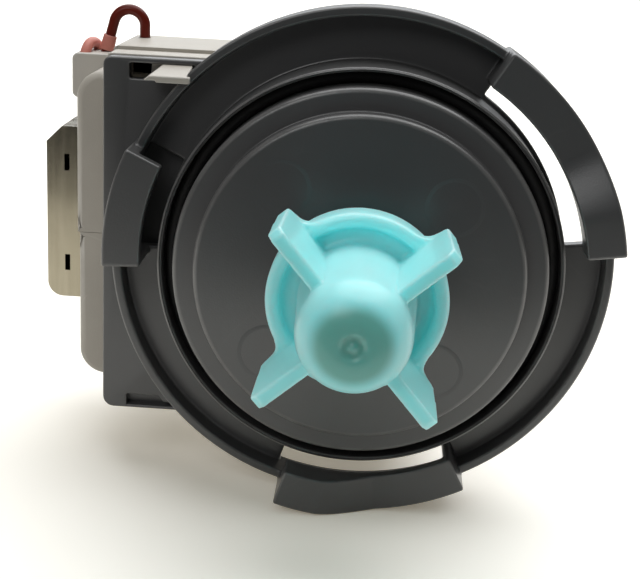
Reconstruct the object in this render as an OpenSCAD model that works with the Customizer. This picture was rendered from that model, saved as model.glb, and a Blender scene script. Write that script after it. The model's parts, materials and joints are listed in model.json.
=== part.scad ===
// Washer drain pump: bayonet flange, stepped front cover, four-blade impeller on a free-play
// coupling, and a two-pole synchronous motor with a U-shaped laminated core.
// Every module draws with the shaft along Z and the impeller upwards; Z = 0 is the front of the
// flange rim. upright() then lays the shaft along Y, so that the impeller faces -Y and +Z is up.

/* [Flange] */
// Outer radius of the round flange
flange_r = 44; // [42.5:0.5:47]
// Width of the rim that stands round the flange
rim_w = 1.6; // [1.2:0.1:2.2]
// Height of the rim above the flange floor
rim_h = 4.2; // [3:0.1:5.5]
// Thickness of the flange floor
floor_t = 2.4; // [1.8:0.1:3.2]

/* [Spigot] */
// Outer radius of the spigot collar that enters the sump
spigot_r = 34.8; // [33.5:0.1:35.2]
// Wall of the spigot collar
spigot_wall = 0.8; // [0.6:0.1:1.4]
// Reach of the spigot collar in front of the rim
spigot_reach = 6.5; // [5:0.1:8]
// Width of the seal groove inside the collar
groove_w = 2.2; // [1.8:0.1:2.8]
// Depth of the seal groove below the collar's front edge
groove_d = 5; // [3.5:0.1:6]

/* [Bayonet hooks] */
// Inner radius of the hook lips
hook_in_r = 38; // [36.8:0.1:39.5]
// How far the hooks stand outside the flange rim
hook_proud = 0.6; // [0.2:0.1:1.5]
// Reach of the low part of a hook in front of the rim
hook_front = 5.8; // [5:0.1:7]
// Thickness of the low part of a hook lip
hook_lip_t = 2.2; // [1.6:0.1:3]
// Extra height of the raised end of a hook
hook_rise = 3.8; // [2:0.1:5]
// Angle covered by the raised end
hook_flat_a = 10; // [6:1:14]
// Angle covered by the ramp to the raised end
hook_ramp_a = 14; // [8:1:16]
// Start angle of the right hook
right_hook_at = 8; // [4:1:14]
// Angle covered by the right hook
right_hook_a = 51; // [40:1:54]
// Start angle of the left hook
left_hook_at = 155; // [150:1:160]
// Angle covered by the left hook
left_hook_a = 27.5; // [22:0.5:32]
// Start angle of the bottom hook
bottom_hook_at = 253; // [248:1:258]
// Angle covered by the bottom hook
bottom_hook_a = 45; // [38:1:50]

/* [Front cover] */
// Reach of the cover's outer step in front of the rim
cover_step_z = 9.4; // [8.4:0.1:10.5]
// Height of the cover's face above its outer step
cover_face_h = 2.6; // [1.6:0.1:4]
// Radial width of the outer step
cover_step_w = 3.9; // [2.5:0.1:6]
// Wall of the cover
cover_wall = 2; // [1.5:0.1:2.6]
// Rounding of the cover's edges
cover_round = 0.9; // [0.5:0.1:1.3]
// Radius of the seal neck behind the impeller
neck_r = 11; // [10.5:0.1:12.5]
// Height of the seal neck above the cover's face
neck_h = 5.4; // [4:0.1:6]

/* [Impeller] */
// Tip radius of the blades
impeller_r = 19.1; // [17:0.1:22]
// Thickness of a blade
blade_t = 2.3; // [1.8:0.1:3]
// Height of a blade in front of the back disc's rim
blade_h = 14; // [10:0.1:17]
// Angle of the first blade
blade_at = 41; // [0:1:89]
// Radius of the back disc
disc_r = 14.6; // [13.5:0.1:16.5]
// Thickness of the back disc at its rim
disc_t = 5; // [4:0.1:6.5]
// Width of the rounded rim on the back disc
disc_rim_w = 2.4; // [1.6:0.1:3]
// Radius of the hub
hub_r = 9.2; // [8.8:0.1:10.2]
// Length of the hub from the back of the disc to its nose
hub_len = 26.2; // [24:0.1:30]
// Rounding of the hub's nose
nose_round = 6.6; // [4:0.1:6.8]

/* [Coupling] */
// Angle covered by the driving lug, and by the driven lug in the hub
lug_a = 60; // [40:1:70]
// Angle covered by one rubber bumper
bumper_a = 6; // [4:1:10]
// Thickness of the cap that closes the hub
cap_t = 2; // [1.5:0.1:3]

/* [Shaft and bearings] */
// Radius of the shaft
shaft_r = 3; // [2.5:0.1:3.2]
// Outer radius of a bearing bush
bush_r = 6; // [5:0.1:6.2]
// Length of the front bush
front_bush_len = 10; // [7:0.5:11]
// Length of the rear bush
rear_bush_len = 6; // [5:0.5:8]
// Thickness of the rubber cushion round a bush
cushion_t = 1.5; // [1.2:0.1:1.6]
// Outer radius of the shaft seal
seal_r = 8; // [7:0.1:8.4]
// Height of the shaft seal
seal_h = 5; // [4:0.1:5.4]

/* [Rotor] */
// Gap between the rotor magnet and the can
rotor_gap = 0.9; // [0.6:0.05:1.4]
// Radial thickness of the magnet ring
magnet_t = 4.4; // [3:0.1:5]
// How much longer the magnet is than the core stack
magnet_extra = 2; // [0:0.5:4]
// Inner radius of the rotor can
can_r = 13.4; // [12.4:0.1:14.6]
// Wall of the rotor can
can_wall = 1.1; // [0.9:0.1:1.2]
// Thickness of a thrust washer
washer_t = 0.8; // [0.5:0.1:1.2]

/* [Motor plate] */
// How far the motor plate stands out to the left of the flange
plate_proud = 2.9; // [2:0.1:5]
// Height of the motor plate
plate_h = 65.4; // [60:0.1:70]
// Thickness of the motor plate
plate_t = 2.6; // [2:0.1:3.2]
// Height of the latch slot at the plate's top
slot_h = 3.2; // [2.8:0.1:3.6]
// Height of the slot at the plate's bottom
low_slot_h = 2.1; // [1.8:0.1:2.6]

/* [Stator core] */
// Reach of the core's yoke to the left of the shaft
core_left = 61.4; // [60:0.2:66]
// Height of the core over its two legs
core_h = 33.8; // [33:0.2:36]
// Width of a leg
leg_w = 10.7; // [9:0.1:11]
// Width of the yoke
yoke_w = 10; // [9:0.1:11]
// How far the yoke stands out of the coil covers
yoke_proud = 8.1; // [7:0.1:9]
// Thickness of the lamination stack
stack_t = 20; // [16:0.5:22]
// Distance of the stack behind the flange's back
stack_back = 17; // [16.5:0.5:19]
// Steel of the poles above and below the bore
pole_wall = 6.1; // [5:0.1:7]
// Steel of the poles beside the bore, on the right
pole_side = 1.1; // [0.8:0.1:2]

/* [Coils] */
// Build of the winding on its former
winding_build = 3; // [2:0.1:3.1]
// Wall of a coil former
bobbin_wall = 1.1; // [0.8:0.1:1.2]
// Gap between the coil covers and the casing's top and bottom walls
cover_gap = 2; // [1:0.1:3]
// Corner radius of the coil covers
cover_corner = 5; // [3:0.2:6]
// Reach of the coil covers in front of and behind the core
cover_reach = 10.4; // [9:0.2:12]

/* [Terminals and leads] */
// Width of the terminal box
box_w = 9.7; // [9:0.1:11]
// Height of the terminal box
box_h = 8.5; // [7.8:0.1:9]
// Depth of the terminal box
box_d = 15; // [13:0.5:17]
// Width of a spade tab
tab_w = 6.3; // [4.8:0.1:6.4]
// Thickness of a spade tab
tab_t = 0.8; // [0.5:0.1:1]
// Length of a spade tab behind the box
tab_len = 8; // [6:0.5:10]
// Radius of a lead over its insulation
lead_r = 1; // [0.7:0.05:1.1]
// Bend radius of the lead loop
loop_r = 3; // [2.6:0.1:3.4]

/* [Hidden] */
$fn = 96;
// Clearances: parts that turn on each other, parts that are fitted, and parts that must not touch
run = 0.05;
fit = 0.1;
air = 0.4;
// Overlap of shapes that are joined into one solid, and overcut of holes
over = 0.5;
// Wall of the casing round the stator
frame_wall = 2;

floor_z = -rim_h;
back_z = floor_z - floor_t;
plate_back_z = back_z - plate_t;
hook_out_r = flange_r + hook_proud;
hook_wall_a = 2;
hook_rear_z = hook_front - hook_lip_t;
hook_wall_in_r = flange_r - rim_w + 0.3;
window_in_r = spigot_r + 0.8;
window_out_r = flange_r - rim_w - 0.3;
window_lead_a = 1;
rim_round = 0.5;
plate_left = flange_r + plate_proud;

groove_z = spigot_reach - groove_d;
cover_r = spigot_r - spigot_wall - groove_w;
face_r = cover_r - cover_step_w;
face_z = cover_step_z + cover_face_h;
neck_z = face_z + neck_h;
seal_web_t = 1.2;
web_z = neck_z - seal_h - 2 * fit;
cover_hub_z = min(web_z - seal_web_t, face_z - cover_wall - 1);
cover_web_r = shaft_r + 1.5;

holder_z = cover_hub_z - fit;
front_bush_z = holder_z - 3 * fit;
front_bush_back = front_bush_z - front_bush_len;
cushion_r = bush_r + cushion_t;
holder_wall = 2;
holder_tube_r = cushion_r + fit + holder_wall;
holder_web_t = 1.6;
holder_web_z = front_bush_back - fit;
holder_flange_r = can_r + 3.5;
holder_flange_t = 2.4;
holder_plug_len = 8;
holder_plug_z = floor_z - holder_plug_len;
journal_r = bush_r - 0.8;
web_hole_r = journal_r + air;

magnet_r = can_r - rotor_gap;
can_out_r = can_r + can_wall;
bore_r = can_out_r + air;
pole_h = 2 * (bore_r + pole_wall);
pole_left = bore_r + 3.6;
pole_right = bore_r + pole_side;
plate_right = pole_right + air + frame_wall;

stack_z = back_z - stack_back;
stack_mid_z = stack_z - stack_t / 2;
stack_end_z = stack_z - stack_t;
magnet_len = stack_t + magnet_extra;
magnet_in_r = magnet_r - magnet_t;
magnet_z = stack_mid_z + magnet_len / 2;
core_end_len = 2;
rotor_z = magnet_z + core_end_len;
rotor_end_z = magnet_z - magnet_len - core_end_len;
rear_bush_z = rotor_end_z - washer_t - 2 * run;
rear_bush_back = rear_bush_z - rear_bush_len;
shaft_end_z = rear_bush_back + run;
can_in_z = rear_bush_back - 3 * fit;
can_end_t = 2;
can_out_z = can_in_z - can_end_t;
can_round = 2;
pocket_wall = 1.8;
pocket_z = rear_bush_z - 1;

neck_gap = 2.4;
disc_back_z = neck_z + neck_gap;
disc_z = disc_back_z + disc_t;
disc_floor_z = disc_back_z + disc_t * 0.55;
blade_front_z = disc_z + blade_h;
nose_z = disc_back_z + hub_len;
hub_wall = 2.2;
hub_draft = 0.4;
hub_in_r = hub_r - hub_wall;
nose_t = 8;
hub_floor_z = nose_z - nose_t;
cap_r = hub_in_r + 0.6;
cap_z = disc_back_z + cap_t;
guide_depth = 4.5;
shaft_tip_z = hub_floor_z + guide_depth - 0.4;
dog_r = shaft_r + 1.6;
dog_z = cap_z + air;
dog_end_z = hub_floor_z - air;
lug_z = dog_z + 4;
lug_end_z = dog_end_z - air;
bumper_inset = 0.5;
lug_r = hub_in_r - air;
driven_lug_at = 180;

pole_gap = 3;
pole_corner = 4;
pole_step = 0.7;
leg_y = (core_h - leg_w) / 2;
dimple_len = 3.2;
dimple_w = 1;
dimple_d = 0.5;
dimple_y = leg_y - 1.6;
yoke_chamfer = 3;

frame_h = plate_h + 0.6;
winding_half_y = leg_w / 2 + fit + bobbin_wall + winding_build;
winding_half_z = stack_t / 2 + fit + bobbin_wall + winding_build;
bobbin_left = core_left - yoke_w - 2 * fit;
bobbin_right = pole_left + 2 * fit;
flange_extra = 0.3;
coil_top_y = leg_y + winding_half_y;
cover_h = frame_h / 2 - frame_wall - cover_gap;
coil_cover_left = core_left - yoke_proud;
coil_cover_right = pole_left + 1;
coil_front_z = stack_z + cover_reach;
coil_end_z = stack_end_z - cover_reach;
mark_at = 42;
mark_r = 4.9;
mark_w = 0.3;
mark_d = 0.1;

coil_split_y = -0.9;
coil_step = 0.4;

frame_t = 2;
frame_front_z = plate_back_z - fit;
frame_split_z = frame_front_z - 6;
split_groove = 0.5;
back_rise = 0.6;
back_drop = 1;
back_wall_z = stack_end_z - fit;
back_end_z = back_wall_z - frame_t;
vent_w = 2;
vent_y = [0.55 * frame_h / 2, 0.73 * frame_h / 2];
vent_left = pole_left - 4;
vent_right = pole_right - 6;

slot_margin = 0.9;
slot_left = plate_left - 4.5;
slot_top = plate_h / 2 - slot_margin;
latch_w = 7.3;
latch_slant = 2.1;
latch_high = slot_top - fit;
latch_low = slot_top - slot_h + 1.3;
latch_right = sqrt(pow(flange_r - rim_w / 2, 2) - pow(latch_low, 2));
latch_left = latch_right + latch_w;
latch_tip_z = 1.1;
latch_catch = 0.7;
nose_h = 0.8;
low_slot_d = 2;
low_margin = 0.6;
low_slot_y = -plate_h / 2 + low_margin;
low_slot_right = sqrt(pow(flange_r + 1.5, 2) - pow(low_slot_y, 2));
step_w = 3.2;
step_h = 0.8;
step_slant = 1;
peep_d = 5;
pin_r = 1.6;
pin_x = [-plate_left + 5, plate_right - 6];
pin_y = frame_h / 2 - 7;

box_left = plate_left + air + box_w;
box_floor_t = 0.5;
box_y = coil_top_y + flange_extra + 2 * fit + box_floor_t;
box_top_y = box_y + box_h;
box_front_z = stack_z - 2.4;
box_end_z = box_front_z - box_d;
tab_inset = 2.4;
tab_x = [-box_left + tab_inset, -box_left + box_w - tab_inset];
tab_y = box_y + box_h / 2;
tab_root = 5;
tab_bevel = 1.2;
detent_at = 3;
detent_r = 0.8;
loop_x = -plate_left + 2.9;
loop_z = box_front_z - 5;
band_end_z = loop_z - 4;
loop_top_y = frame_h / 2 + 2.7;
loop_lean = 15;
loop_end = [loop_x - loop_r * (1 + cos(loop_lean)), loop_top_y + loop_r * sin(loop_lean)];
short_sink = 1.6;
lead_seat = 2.5;
short_r = 3.2;
short_turn = 75;
short_at = [-box_left + 2, loop_z + 3];
cutoff_w = 12;
cutoff_x = loop_x - 1.5;
cutoff_h = 0.53 * (cover_h - coil_top_y);
cutoff_d = 7;

dark_grey = [0.22, 0.22, 0.23];
aqua = [0.45, 0.82, 0.86];
cream = [0.92, 0.9, 0.85];
pale_grey = [0.8, 0.8, 0.8];
steel = [0.62, 0.6, 0.54];
black = [0.06, 0.06, 0.06];
copper = [0.72, 0.4, 0.22];
bronze = [0.6, 0.45, 0.25];
dark_red = [0.42, 0.1, 0.09];
salmon = [0.84, 0.5, 0.45];
natural = [0.86, 0.84, 0.76];

// Points of a round stretch of an outline
function arc(x, y, r, from, to, steps = 6) =
    [for (i = [0 : steps]) let (a = from + (to - from) * i / steps) [x + r * cos(a), y + r * sin(a)]];

// Lays the shaft along Y with the impeller towards -Y
module upright() {
    rotate([90, 0, 0]) children();
}

// Cylinder between two heights
module drum(r, from, to) {
    translate([0, 0, from]) cylinder(r = r, h = to - from);
}

// Tube between two heights
module ring(r_out, r_in, from, to) {
    difference() {
        drum(r_out, from, to);
        drum(r_in, from - over, to + over);
    }
}

// Part of a ring between two angles and two heights
module ring_part(r_in, r_out, at, angle, from, to) {
    rotate([0, 0, at]) rotate_extrude(angle = angle)
        translate([r_in, from]) square([r_out - r_in, to - from]);
}

// Box between two corners
module block(low, high) {
    translate(low) cube(high - low);
}

// Rectangle with its own radius at each corner, in the order of the four quadrants
module panel(left, right, bottom, top, radii) {
    difference() {
        translate([left, bottom]) square([right - left, top - bottom]);
        translate([right, top]) corner_cut(radii[0]);
        translate([left, top]) rotate(90) corner_cut(radii[1]);
        translate([left, bottom]) rotate(180) corner_cut(radii[2]);
        translate([right, bottom]) rotate(270) corner_cut(radii[3]);
    }
}

// What a rounding takes away from a corner that points to the upper right
module corner_cut(r) {
    difference() {
        translate([-r, -r]) square(r + over);
        translate([-r, -r]) circle(r = r);
    }
}

// One bayonet hook: a wall outside the rim, a lip that reaches inwards over the floor and a stop
// wall at one end; a long hook also ramps up to a raised end
module hook(at, angle, raised) {
    top_z = raised ? hook_front + hook_rise : hook_front;
    difference() {
        ring_part(hook_in_r, hook_out_r, at, angle, back_z, top_z);
        ring_part(hook_in_r - 1, hook_wall_in_r, at - 1, angle + 1 - hook_wall_a, back_z - over,
            hook_rear_z);
        if (raised) difference() {
            ring_part(hook_in_r - 1, hook_out_r + 1, at + hook_flat_a - 2, angle, hook_front, top_z + 1);
            ramp(at + hook_flat_a, top_z);
        }
    }
}

// Space below the sloping face that leads up to the raised end of a hook
module ramp(at, top_z) {
    run_len = hook_out_r * 2 * sin(hook_ramp_a / 2);
    slope = atan(hook_rise / run_len);
    big = 2 * hook_out_r;
    rotate([0, 0, at + hook_ramp_a / 2]) translate([0, -run_len / 2, top_z]) rotate([-slope, 0, 0])
        translate([0, -big / 2, -big]) cube(big);
}

// Arc window in the floor under one hook
module hook_window(at, angle) {
    ring_part(window_in_r, window_out_r, at - window_lead_a, angle + window_lead_a - hook_wall_a - 0.4,
        back_z - over, floor_z + over);
}

// Flange moulding: floor with rim, collar, hooks, motor plate and blind rotor can
module pump_flange() {
    color(dark_grey) difference() {
        union() {
            rotate_extrude() polygon(concat(
                [[can_r, back_z], [flange_r, back_z]],
                arc(flange_r - rim_round, -rim_round, rim_round, 0, 90, 3),
                [[flange_r - rim_w, 0], [flange_r - rim_w, floor_z], [spigot_r, floor_z],
                 [spigot_r, spigot_reach], [spigot_r - spigot_wall, spigot_reach],
                 [spigot_r - spigot_wall, groove_z], [cover_r + fit, groove_z],
                 [cover_r + fit, floor_z], [can_r, floor_z]]));
            hook(right_hook_at, right_hook_a, true);
            hook(left_hook_at, left_hook_a, false);
            hook(bottom_hook_at, bottom_hook_a, true);
            motor_plate();
            rotor_can();
            back_ribs();
        }
        hook_window(right_hook_at, right_hook_a);
        hook_window(bottom_hook_at, bottom_hook_a);
        intersection() {
            hook_window(left_hook_at, left_hook_a);
            drum(flange_r, back_z, floor_z + over);
        }
        plate_slots();
    }
}

// Rectangular plate behind the flange, with four pins that locate the stator frame
module motor_plate() {
    difference() {
        translate([0, 0, plate_back_z]) linear_extrude(plate_t)
            panel(-plate_left, plate_right, -plate_h / 2, plate_h / 2, [8, 1.5, 2, 8]);
        drum(can_r, plate_back_z - over, back_z + over);
    }
    for (x = pin_x, y = [-pin_y, pin_y])
        translate([x, y, 0]) drum(pin_r, plate_back_z - frame_t, back_z);
}

// Latch slot at the top of the plate with a notch in the rim, and the stepped blind slot at the bottom
module plate_slots() {
    block([-slot_left, slot_top - slot_h, plate_back_z - over],
        [-latch_right + air, slot_top, back_z + over]);
    block([-latch_right - rim_w - air, latch_low - 2 * fit, back_z - over],
        [-latch_right + 2 * fit, slot_top - fit, over]);
    translate([0, 0, back_z - low_slot_d]) linear_extrude(low_slot_d + over) low_slot_outline();
}

// Outline of the bottom slot: a tall part that narrows to a thin step on the right
module low_slot_outline() {
    top = low_slot_y + low_slot_h;
    step_y = low_slot_y + step_h;
    polygon([[-slot_left, low_slot_y], [-low_slot_right, low_slot_y], [-low_slot_right, step_y],
        [-low_slot_right - step_w, step_y], [-low_slot_right - step_w - step_slant, top],
        [-slot_left, top]]);
}

// Blind can round the rotor, with a pocket for the rear bush in its end
module rotor_can() {
    seat_r = cushion_r + fit;
    rotate_extrude() polygon(concat(
        [[can_r, back_z + over], [can_out_r, back_z + over]],
        arc(can_out_r - can_round, can_out_z + can_round, can_round, 0, -90, 4),
        [[0, can_out_z], [0, can_in_z], [seat_r, can_in_z], [seat_r, pocket_z],
         [seat_r + pocket_wall, pocket_z], [seat_r + pocket_wall, can_in_z], [can_r, can_in_z]]));
}

// Stiffening ribs behind the free part of the flange
module back_ribs() {
    rib_t = 1.6;
    rib_h = plate_t - 0.4;
    for (a = [-48, -30, -12, 72, 90, 108])
        rotate([0, 0, a]) block([can_out_r + 1, -rib_t / 2, back_z - rib_h],
            [flange_r - rim_w, rib_t / 2, back_z + over]);
}

// Stepped front cover with the seal neck and the hub that clamps the bearing holder
module front_cover() {
    r = cover_round;
    hub_out_r = neck_r - 0.6;
    color(dark_grey) difference() {
        rotate_extrude() polygon(concat(
            [[cover_r, floor_z + fit]],
            arc(cover_r - r, cover_step_z - r, r, 0, 90, 5),
            [[face_r, cover_step_z]],
            arc(face_r - r, face_z - r, r, 0, 90, 5),
            [[neck_r, face_z], [neck_r, neck_z - 0.6], [neck_r - 0.6, neck_z], [seal_r + fit, neck_z],
             [seal_r + fit, web_z], [cover_web_r, web_z], [cover_web_r, cover_hub_z],
             [hub_out_r, cover_hub_z], [hub_out_r, face_z - cover_wall],
             [face_r - cover_wall, face_z - cover_wall],
             [face_r - cover_wall, cover_step_z - cover_wall],
             [cover_r - cover_wall, cover_step_z - cover_wall], [cover_r - cover_wall, floor_z + fit]]));
        for (i = [0 : 3])
            rotate([0, 0, mark_at + 90 * i]) translate([(neck_r + face_r) / 2 + 0.7, 0, 0])
                ring(mark_r, mark_r - mark_w, face_z - mark_d, face_z + over);
    }
}

// Rubber ring in the groove between the collar and the cover
module spigot_seal() {
    section_r = groove_w / 2 - run;
    color(black) rotate_extrude()
        translate([cover_r + groove_w / 2, groove_z + section_r + run]) circle(r = section_r);
}

// Lip seal: pressed case, flared lip towards the impeller
module shaft_seal() {
    low = web_z + fit;
    high = low + seal_h;
    lip_r = shaft_r + run;
    color(black) rotate_extrude() polygon([[seal_r, low], [seal_r, high], [seal_r - 1.4, high],
        [seal_r - 1.8, low + 1.8], [lip_r + 1.6, low + 1.8], [lip_r + 1.1, high - 0.4],
        [lip_r, high - 0.6], [lip_r + 0.3, low]]);
}

// Plug in the mouth of the can, with the tube that carries the front bush
module bearing_holder() {
    seat_r = cushion_r + fit;
    flange_z = floor_z + fit + holder_flange_t;
    color(natural) rotate_extrude() polygon([[seat_r, holder_z], [holder_tube_r, holder_z],
        [holder_tube_r, flange_z], [holder_flange_r, flange_z],
        [holder_flange_r, floor_z + fit], [can_r - fit, floor_z + fit], [can_r - fit, holder_plug_z],
        [can_r - fit - holder_wall, holder_plug_z], [can_r - fit - holder_wall, floor_z - 2],
        [holder_tube_r, floor_z - 2], [holder_tube_r, holder_web_z - holder_web_t],
        [web_hole_r, holder_web_z - holder_web_t], [web_hole_r, holder_web_z], [seat_r, holder_web_z]]);
}

// Sintered bush with a small lead-in at both ends of its bore
module bush(from, to) {
    bore = shaft_r + run;
    rotate_extrude() polygon([[bore, from + 0.4], [bore + 0.4, from], [bush_r - 0.4, from],
        [bush_r, from + 0.4], [bush_r, to - 0.4], [bush_r - 0.4, to], [bore + 0.4, to], [bore, to - 0.4]]);
}

module front_bearing() {
    color(bronze) bush(front_bush_back, front_bush_z);
}

module rear_bearing() {
    color(bronze) bush(rear_bush_back, rear_bush_z);
}

// Rubber sleeves between the bushes and their seats
module front_cushion() {
    color(black) ring(cushion_r, bush_r + run, front_bush_back + 1, front_bush_z - 1);
}

module rear_cushion() {
    color(black) ring(cushion_r, bush_r + run, rear_bush_back + 0.6, pocket_z - 0.2);
}

// Outline of a lamination: yoke, two legs and two poles round the rotor
module lamination() {
    half = core_h / 2;
    inner = half - leg_w;
    legs_end = over - pole_left;
    difference() {
        union() {
            difference() {
                polygon([[legs_end, half], [yoke_chamfer - core_left, half],
                    [-core_left, half - yoke_chamfer], [-core_left, -half], [legs_end, -half],
                    [legs_end, -inner], [yoke_w - core_left, -inner], [yoke_w - core_left, inner],
                    [legs_end, inner]]);
                translate([-core_left, -half]) rotate(180) corner_cut(yoke_chamfer);
            }
            panel(-pole_left, pole_right, -pole_h / 2, pole_h / 2,
                [pole_corner, pole_corner, pole_corner, pole_corner]);
        }
        circle(r = bore_r);
        translate([-pole_left - over, -pole_gap / 2]) square([pole_left + pole_right + 2 * over, pole_gap]);
        for (a = [20, 200])
            rotate(a) intersection() {
                circle(r = bore_r + pole_step);
                polygon([[0, 0], [2 * bore_r, 0], [2 * bore_r, 2 * bore_r]]);
            }
    }
}

// Lamination stack with the interlock dimples that hold the sheets together
module stator_core() {
    dimple_x = -core_left + 3.9;
    color(steel) difference() {
        translate([0, 0, stack_end_z]) linear_extrude(stack_t) lamination();
        for (y = [-dimple_y, dimple_y])
            block([dimple_x - dimple_w / 2, y - dimple_len / 2, stack_z - dimple_d],
                [dimple_x + dimple_w / 2, y + dimple_len / 2, stack_z + over]);
    }
}

// Coil former on the upper leg
module bobbin() {
    in_y = leg_w / 2 + fit;
    in_z = stack_t / 2 + fit;
    tube_y = in_y + bobbin_wall;
    tube_z = in_z + bobbin_wall;
    end_y = winding_half_y + flange_extra;
    end_z = winding_half_z + flange_extra;
    translate([0, leg_y, stack_mid_z]) difference() {
        union() {
            block([-bobbin_left, -tube_y, -tube_z], [-bobbin_right, tube_y, tube_z]);
            block([-bobbin_left, -end_y, -end_z], [-bobbin_left + bobbin_wall, end_y, end_z]);
            block([-bobbin_right - bobbin_wall, -end_y, -end_z], [-bobbin_right, end_y, end_z]);
        }
        block([-bobbin_left - over, -in_y, -in_z], [-bobbin_right + over, in_y, in_z]);
    }
}

module upper_bobbin() {
    color(natural) bobbin();
}

module lower_bobbin() {
    color(natural) mirror([0, 1, 0]) bobbin();
}

// Winding on the upper former, as the layered block that lies between its two flanges
module winding() {
    in_y = winding_half_y - winding_build + run;
    in_z = winding_half_z - winding_build + run;
    left = bobbin_left - bobbin_wall - fit;
    right = bobbin_right + bobbin_wall + fit;
    translate([-left, leg_y, stack_mid_z]) rotate([90, 0, 90]) linear_extrude(left - right) difference() {
        panel(-winding_half_y, winding_half_y, -winding_half_z, winding_half_z, [3, 3, 3, 3]);
        panel(-in_y, in_y, -in_z, in_z, [0.5, 0.5, 0.5, 0.5]);
    }
}

module upper_winding() {
    color(copper) winding();
}

module lower_winding() {
    color(copper) mirror([0, 1, 0]) winding();
}

// Space that a coil with its former and leg takes inside its cover
module coil_space() {
    half_y = winding_half_y + flange_extra + fit;
    half_z = winding_half_z + flange_extra + fit;
    block([-bobbin_left - fit, leg_y - half_y, stack_mid_z - half_z],
        [-coil_cover_right + over, leg_y + half_y, stack_mid_z + half_z]);
    block([-core_left, -core_h / 2 - 2 * fit, stack_end_z - 2 * fit],
        [-bobbin_left, core_h / 2 + 2 * fit, stack_z + 2 * fit]);
}

// Upper coil cover, with a notch for the terminal box and a pocket for the cut-off
module upper_coil_cover() {
    color(cream) difference() {
        translate([0, 0, coil_end_z]) linear_extrude(coil_front_z - coil_end_z)
            panel(-coil_cover_left, -coil_cover_right, coil_split_y, cover_h,
                [1, cover_corner, 0.5, 0.5]);
        coil_space();
        block([-coil_cover_left - over, box_y - fit, coil_end_z - over],
            [-box_left + box_w + fit, cover_h + over, box_front_z + fit]);
        block([cutoff_x - fit, coil_top_y, loop_z - cutoff_d / 2 - fit],
            [cutoff_x + cutoff_w + fit, coil_top_y + cutoff_h + 4 * fit, loop_z + cutoff_d / 2 + fit]);
        lead_hole(loop_x, coil_top_y);
    }
}

// Lower coil cover, a little narrower than the upper one
module lower_coil_cover() {
    color(cream) difference() {
        translate([0, 0, coil_end_z]) linear_extrude(coil_front_z - coil_end_z)
            panel(-coil_cover_left + coil_step, -coil_cover_right, -cover_h, coil_split_y - fit,
                [0.5, 0.5, cover_corner, 1]);
        mirror([0, 1, 0]) coil_space();
    }
}

// Hole for a lead, from a given height up through the tops of the motor
module lead_hole(x, from) {
    translate([x, from, loop_z]) rotate([-90, 0, 0]) cylinder(r = lead_r + fit, h = frame_h);
}

// Side walls of the stator casing between two heights: top, bottom and right, made thicker by a rise
module casing_walls(from, to, rise) {
    half = frame_h / 2 + rise;
    inner = frame_h / 2 - frame_wall;
    translate([0, 0, from]) linear_extrude(to - from) difference() {
        panel(-plate_left, plate_right, -half, half, [6, 1, 1, 6]);
        panel(-plate_left - 2 * over, plate_right - frame_wall, -inner, inner, [4, over, over, 4]);
    }
}

// Front frame: wall on the motor plate, short side walls, core rests and the latch in the top slot
module stator_frame() {
    half = frame_h / 2;
    color(cream) difference() {
        union() {
            casing_walls(frame_split_z, frame_front_z, 0);
            translate([0, 0, frame_front_z - frame_t]) linear_extrude(frame_t)
                panel(-plate_left, plate_right, -half, half, [6, 1, 1, 6]);
            for (y = [-pole_h / 2 + 1, pole_h / 2 - 4])
                block([-pole_left + 4, y, stack_z + fit], [pole_right - 4, y + 3, frame_front_z - 1]);
            latch();
        }
        drum(can_out_r + fit, stack_z, frame_front_z + over);
        for (x = pin_x, y = [-pin_y, pin_y])
            translate([x, y, 0]) drum(pin_r + fit, frame_front_z - frame_t - over, frame_front_z + over);
        split_rebate(frame_split_z);
        block([-slot_left, slot_top - slot_h, frame_front_z - peep_d],
            [-latch_left - air, slot_top, frame_front_z + over]);
    }
}

// Tongue of the front frame: it passes through the plate's top slot, slopes down to the front and
// grips the front of the flange rim with its nose
module latch() {
    root_z = frame_front_z - 1;
    slope = atan((latch_high - latch_low - nose_h) / (latch_tip_z - back_z));
    difference() {
        union() {
            translate([0, 0, root_z]) linear_extrude(latch_tip_z - root_z)
                polygon([[-latch_left, latch_low], [-latch_right, latch_low], [-latch_right, latch_high],
                    [-latch_left + latch_slant, latch_high]]);
            block([-latch_left + latch_slant, latch_low - latch_catch / 2, 3 * fit],
                [-latch_right + latch_catch, latch_high - over, latch_tip_z]);
        }
        translate([-latch_left - over, latch_high, back_z]) rotate([slope, 0, 0])
            cube([latch_w + latch_catch + 2 * over, slot_h, latch_tip_z - back_z + over]);
    }
}

// Rebate along the top and bottom of the front frame, at the casing's parting line
module split_rebate(z) {
    depth = split_groove;
    for (side = [0, 1])
        mirror([0, side, 0]) block([-plate_left - over, frame_h / 2 - depth, z - depth],
            [plate_right + over, frame_h / 2 + over, z + depth]);
}

// Rear shell: side walls with a band that stands a little proud of the front frame, and the wall behind
// the poles
module stator_back() {
    half = frame_h / 2 - back_drop;
    color(cream) difference() {
        union() {
            casing_walls(back_end_z, frame_split_z - fit, -back_drop);
            casing_walls(band_end_z, frame_split_z - fit, back_rise);
            translate([0, 0, back_end_z]) linear_extrude(frame_t)
                panel(-pole_left + 0.5, plate_right, -half, half, [6, 0.5, 0.5, 6]);
        }
        drum(can_out_r + air, back_end_z - over, stack_z);
        for (y = vent_y, side = [-1, 1])
            block([-vent_left, side * y - vent_w / 2, back_end_z - over],
                [vent_right, side * y + vent_w / 2, back_wall_z + over]);
        lead_hole(loop_x, 0);
    }
}

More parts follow.
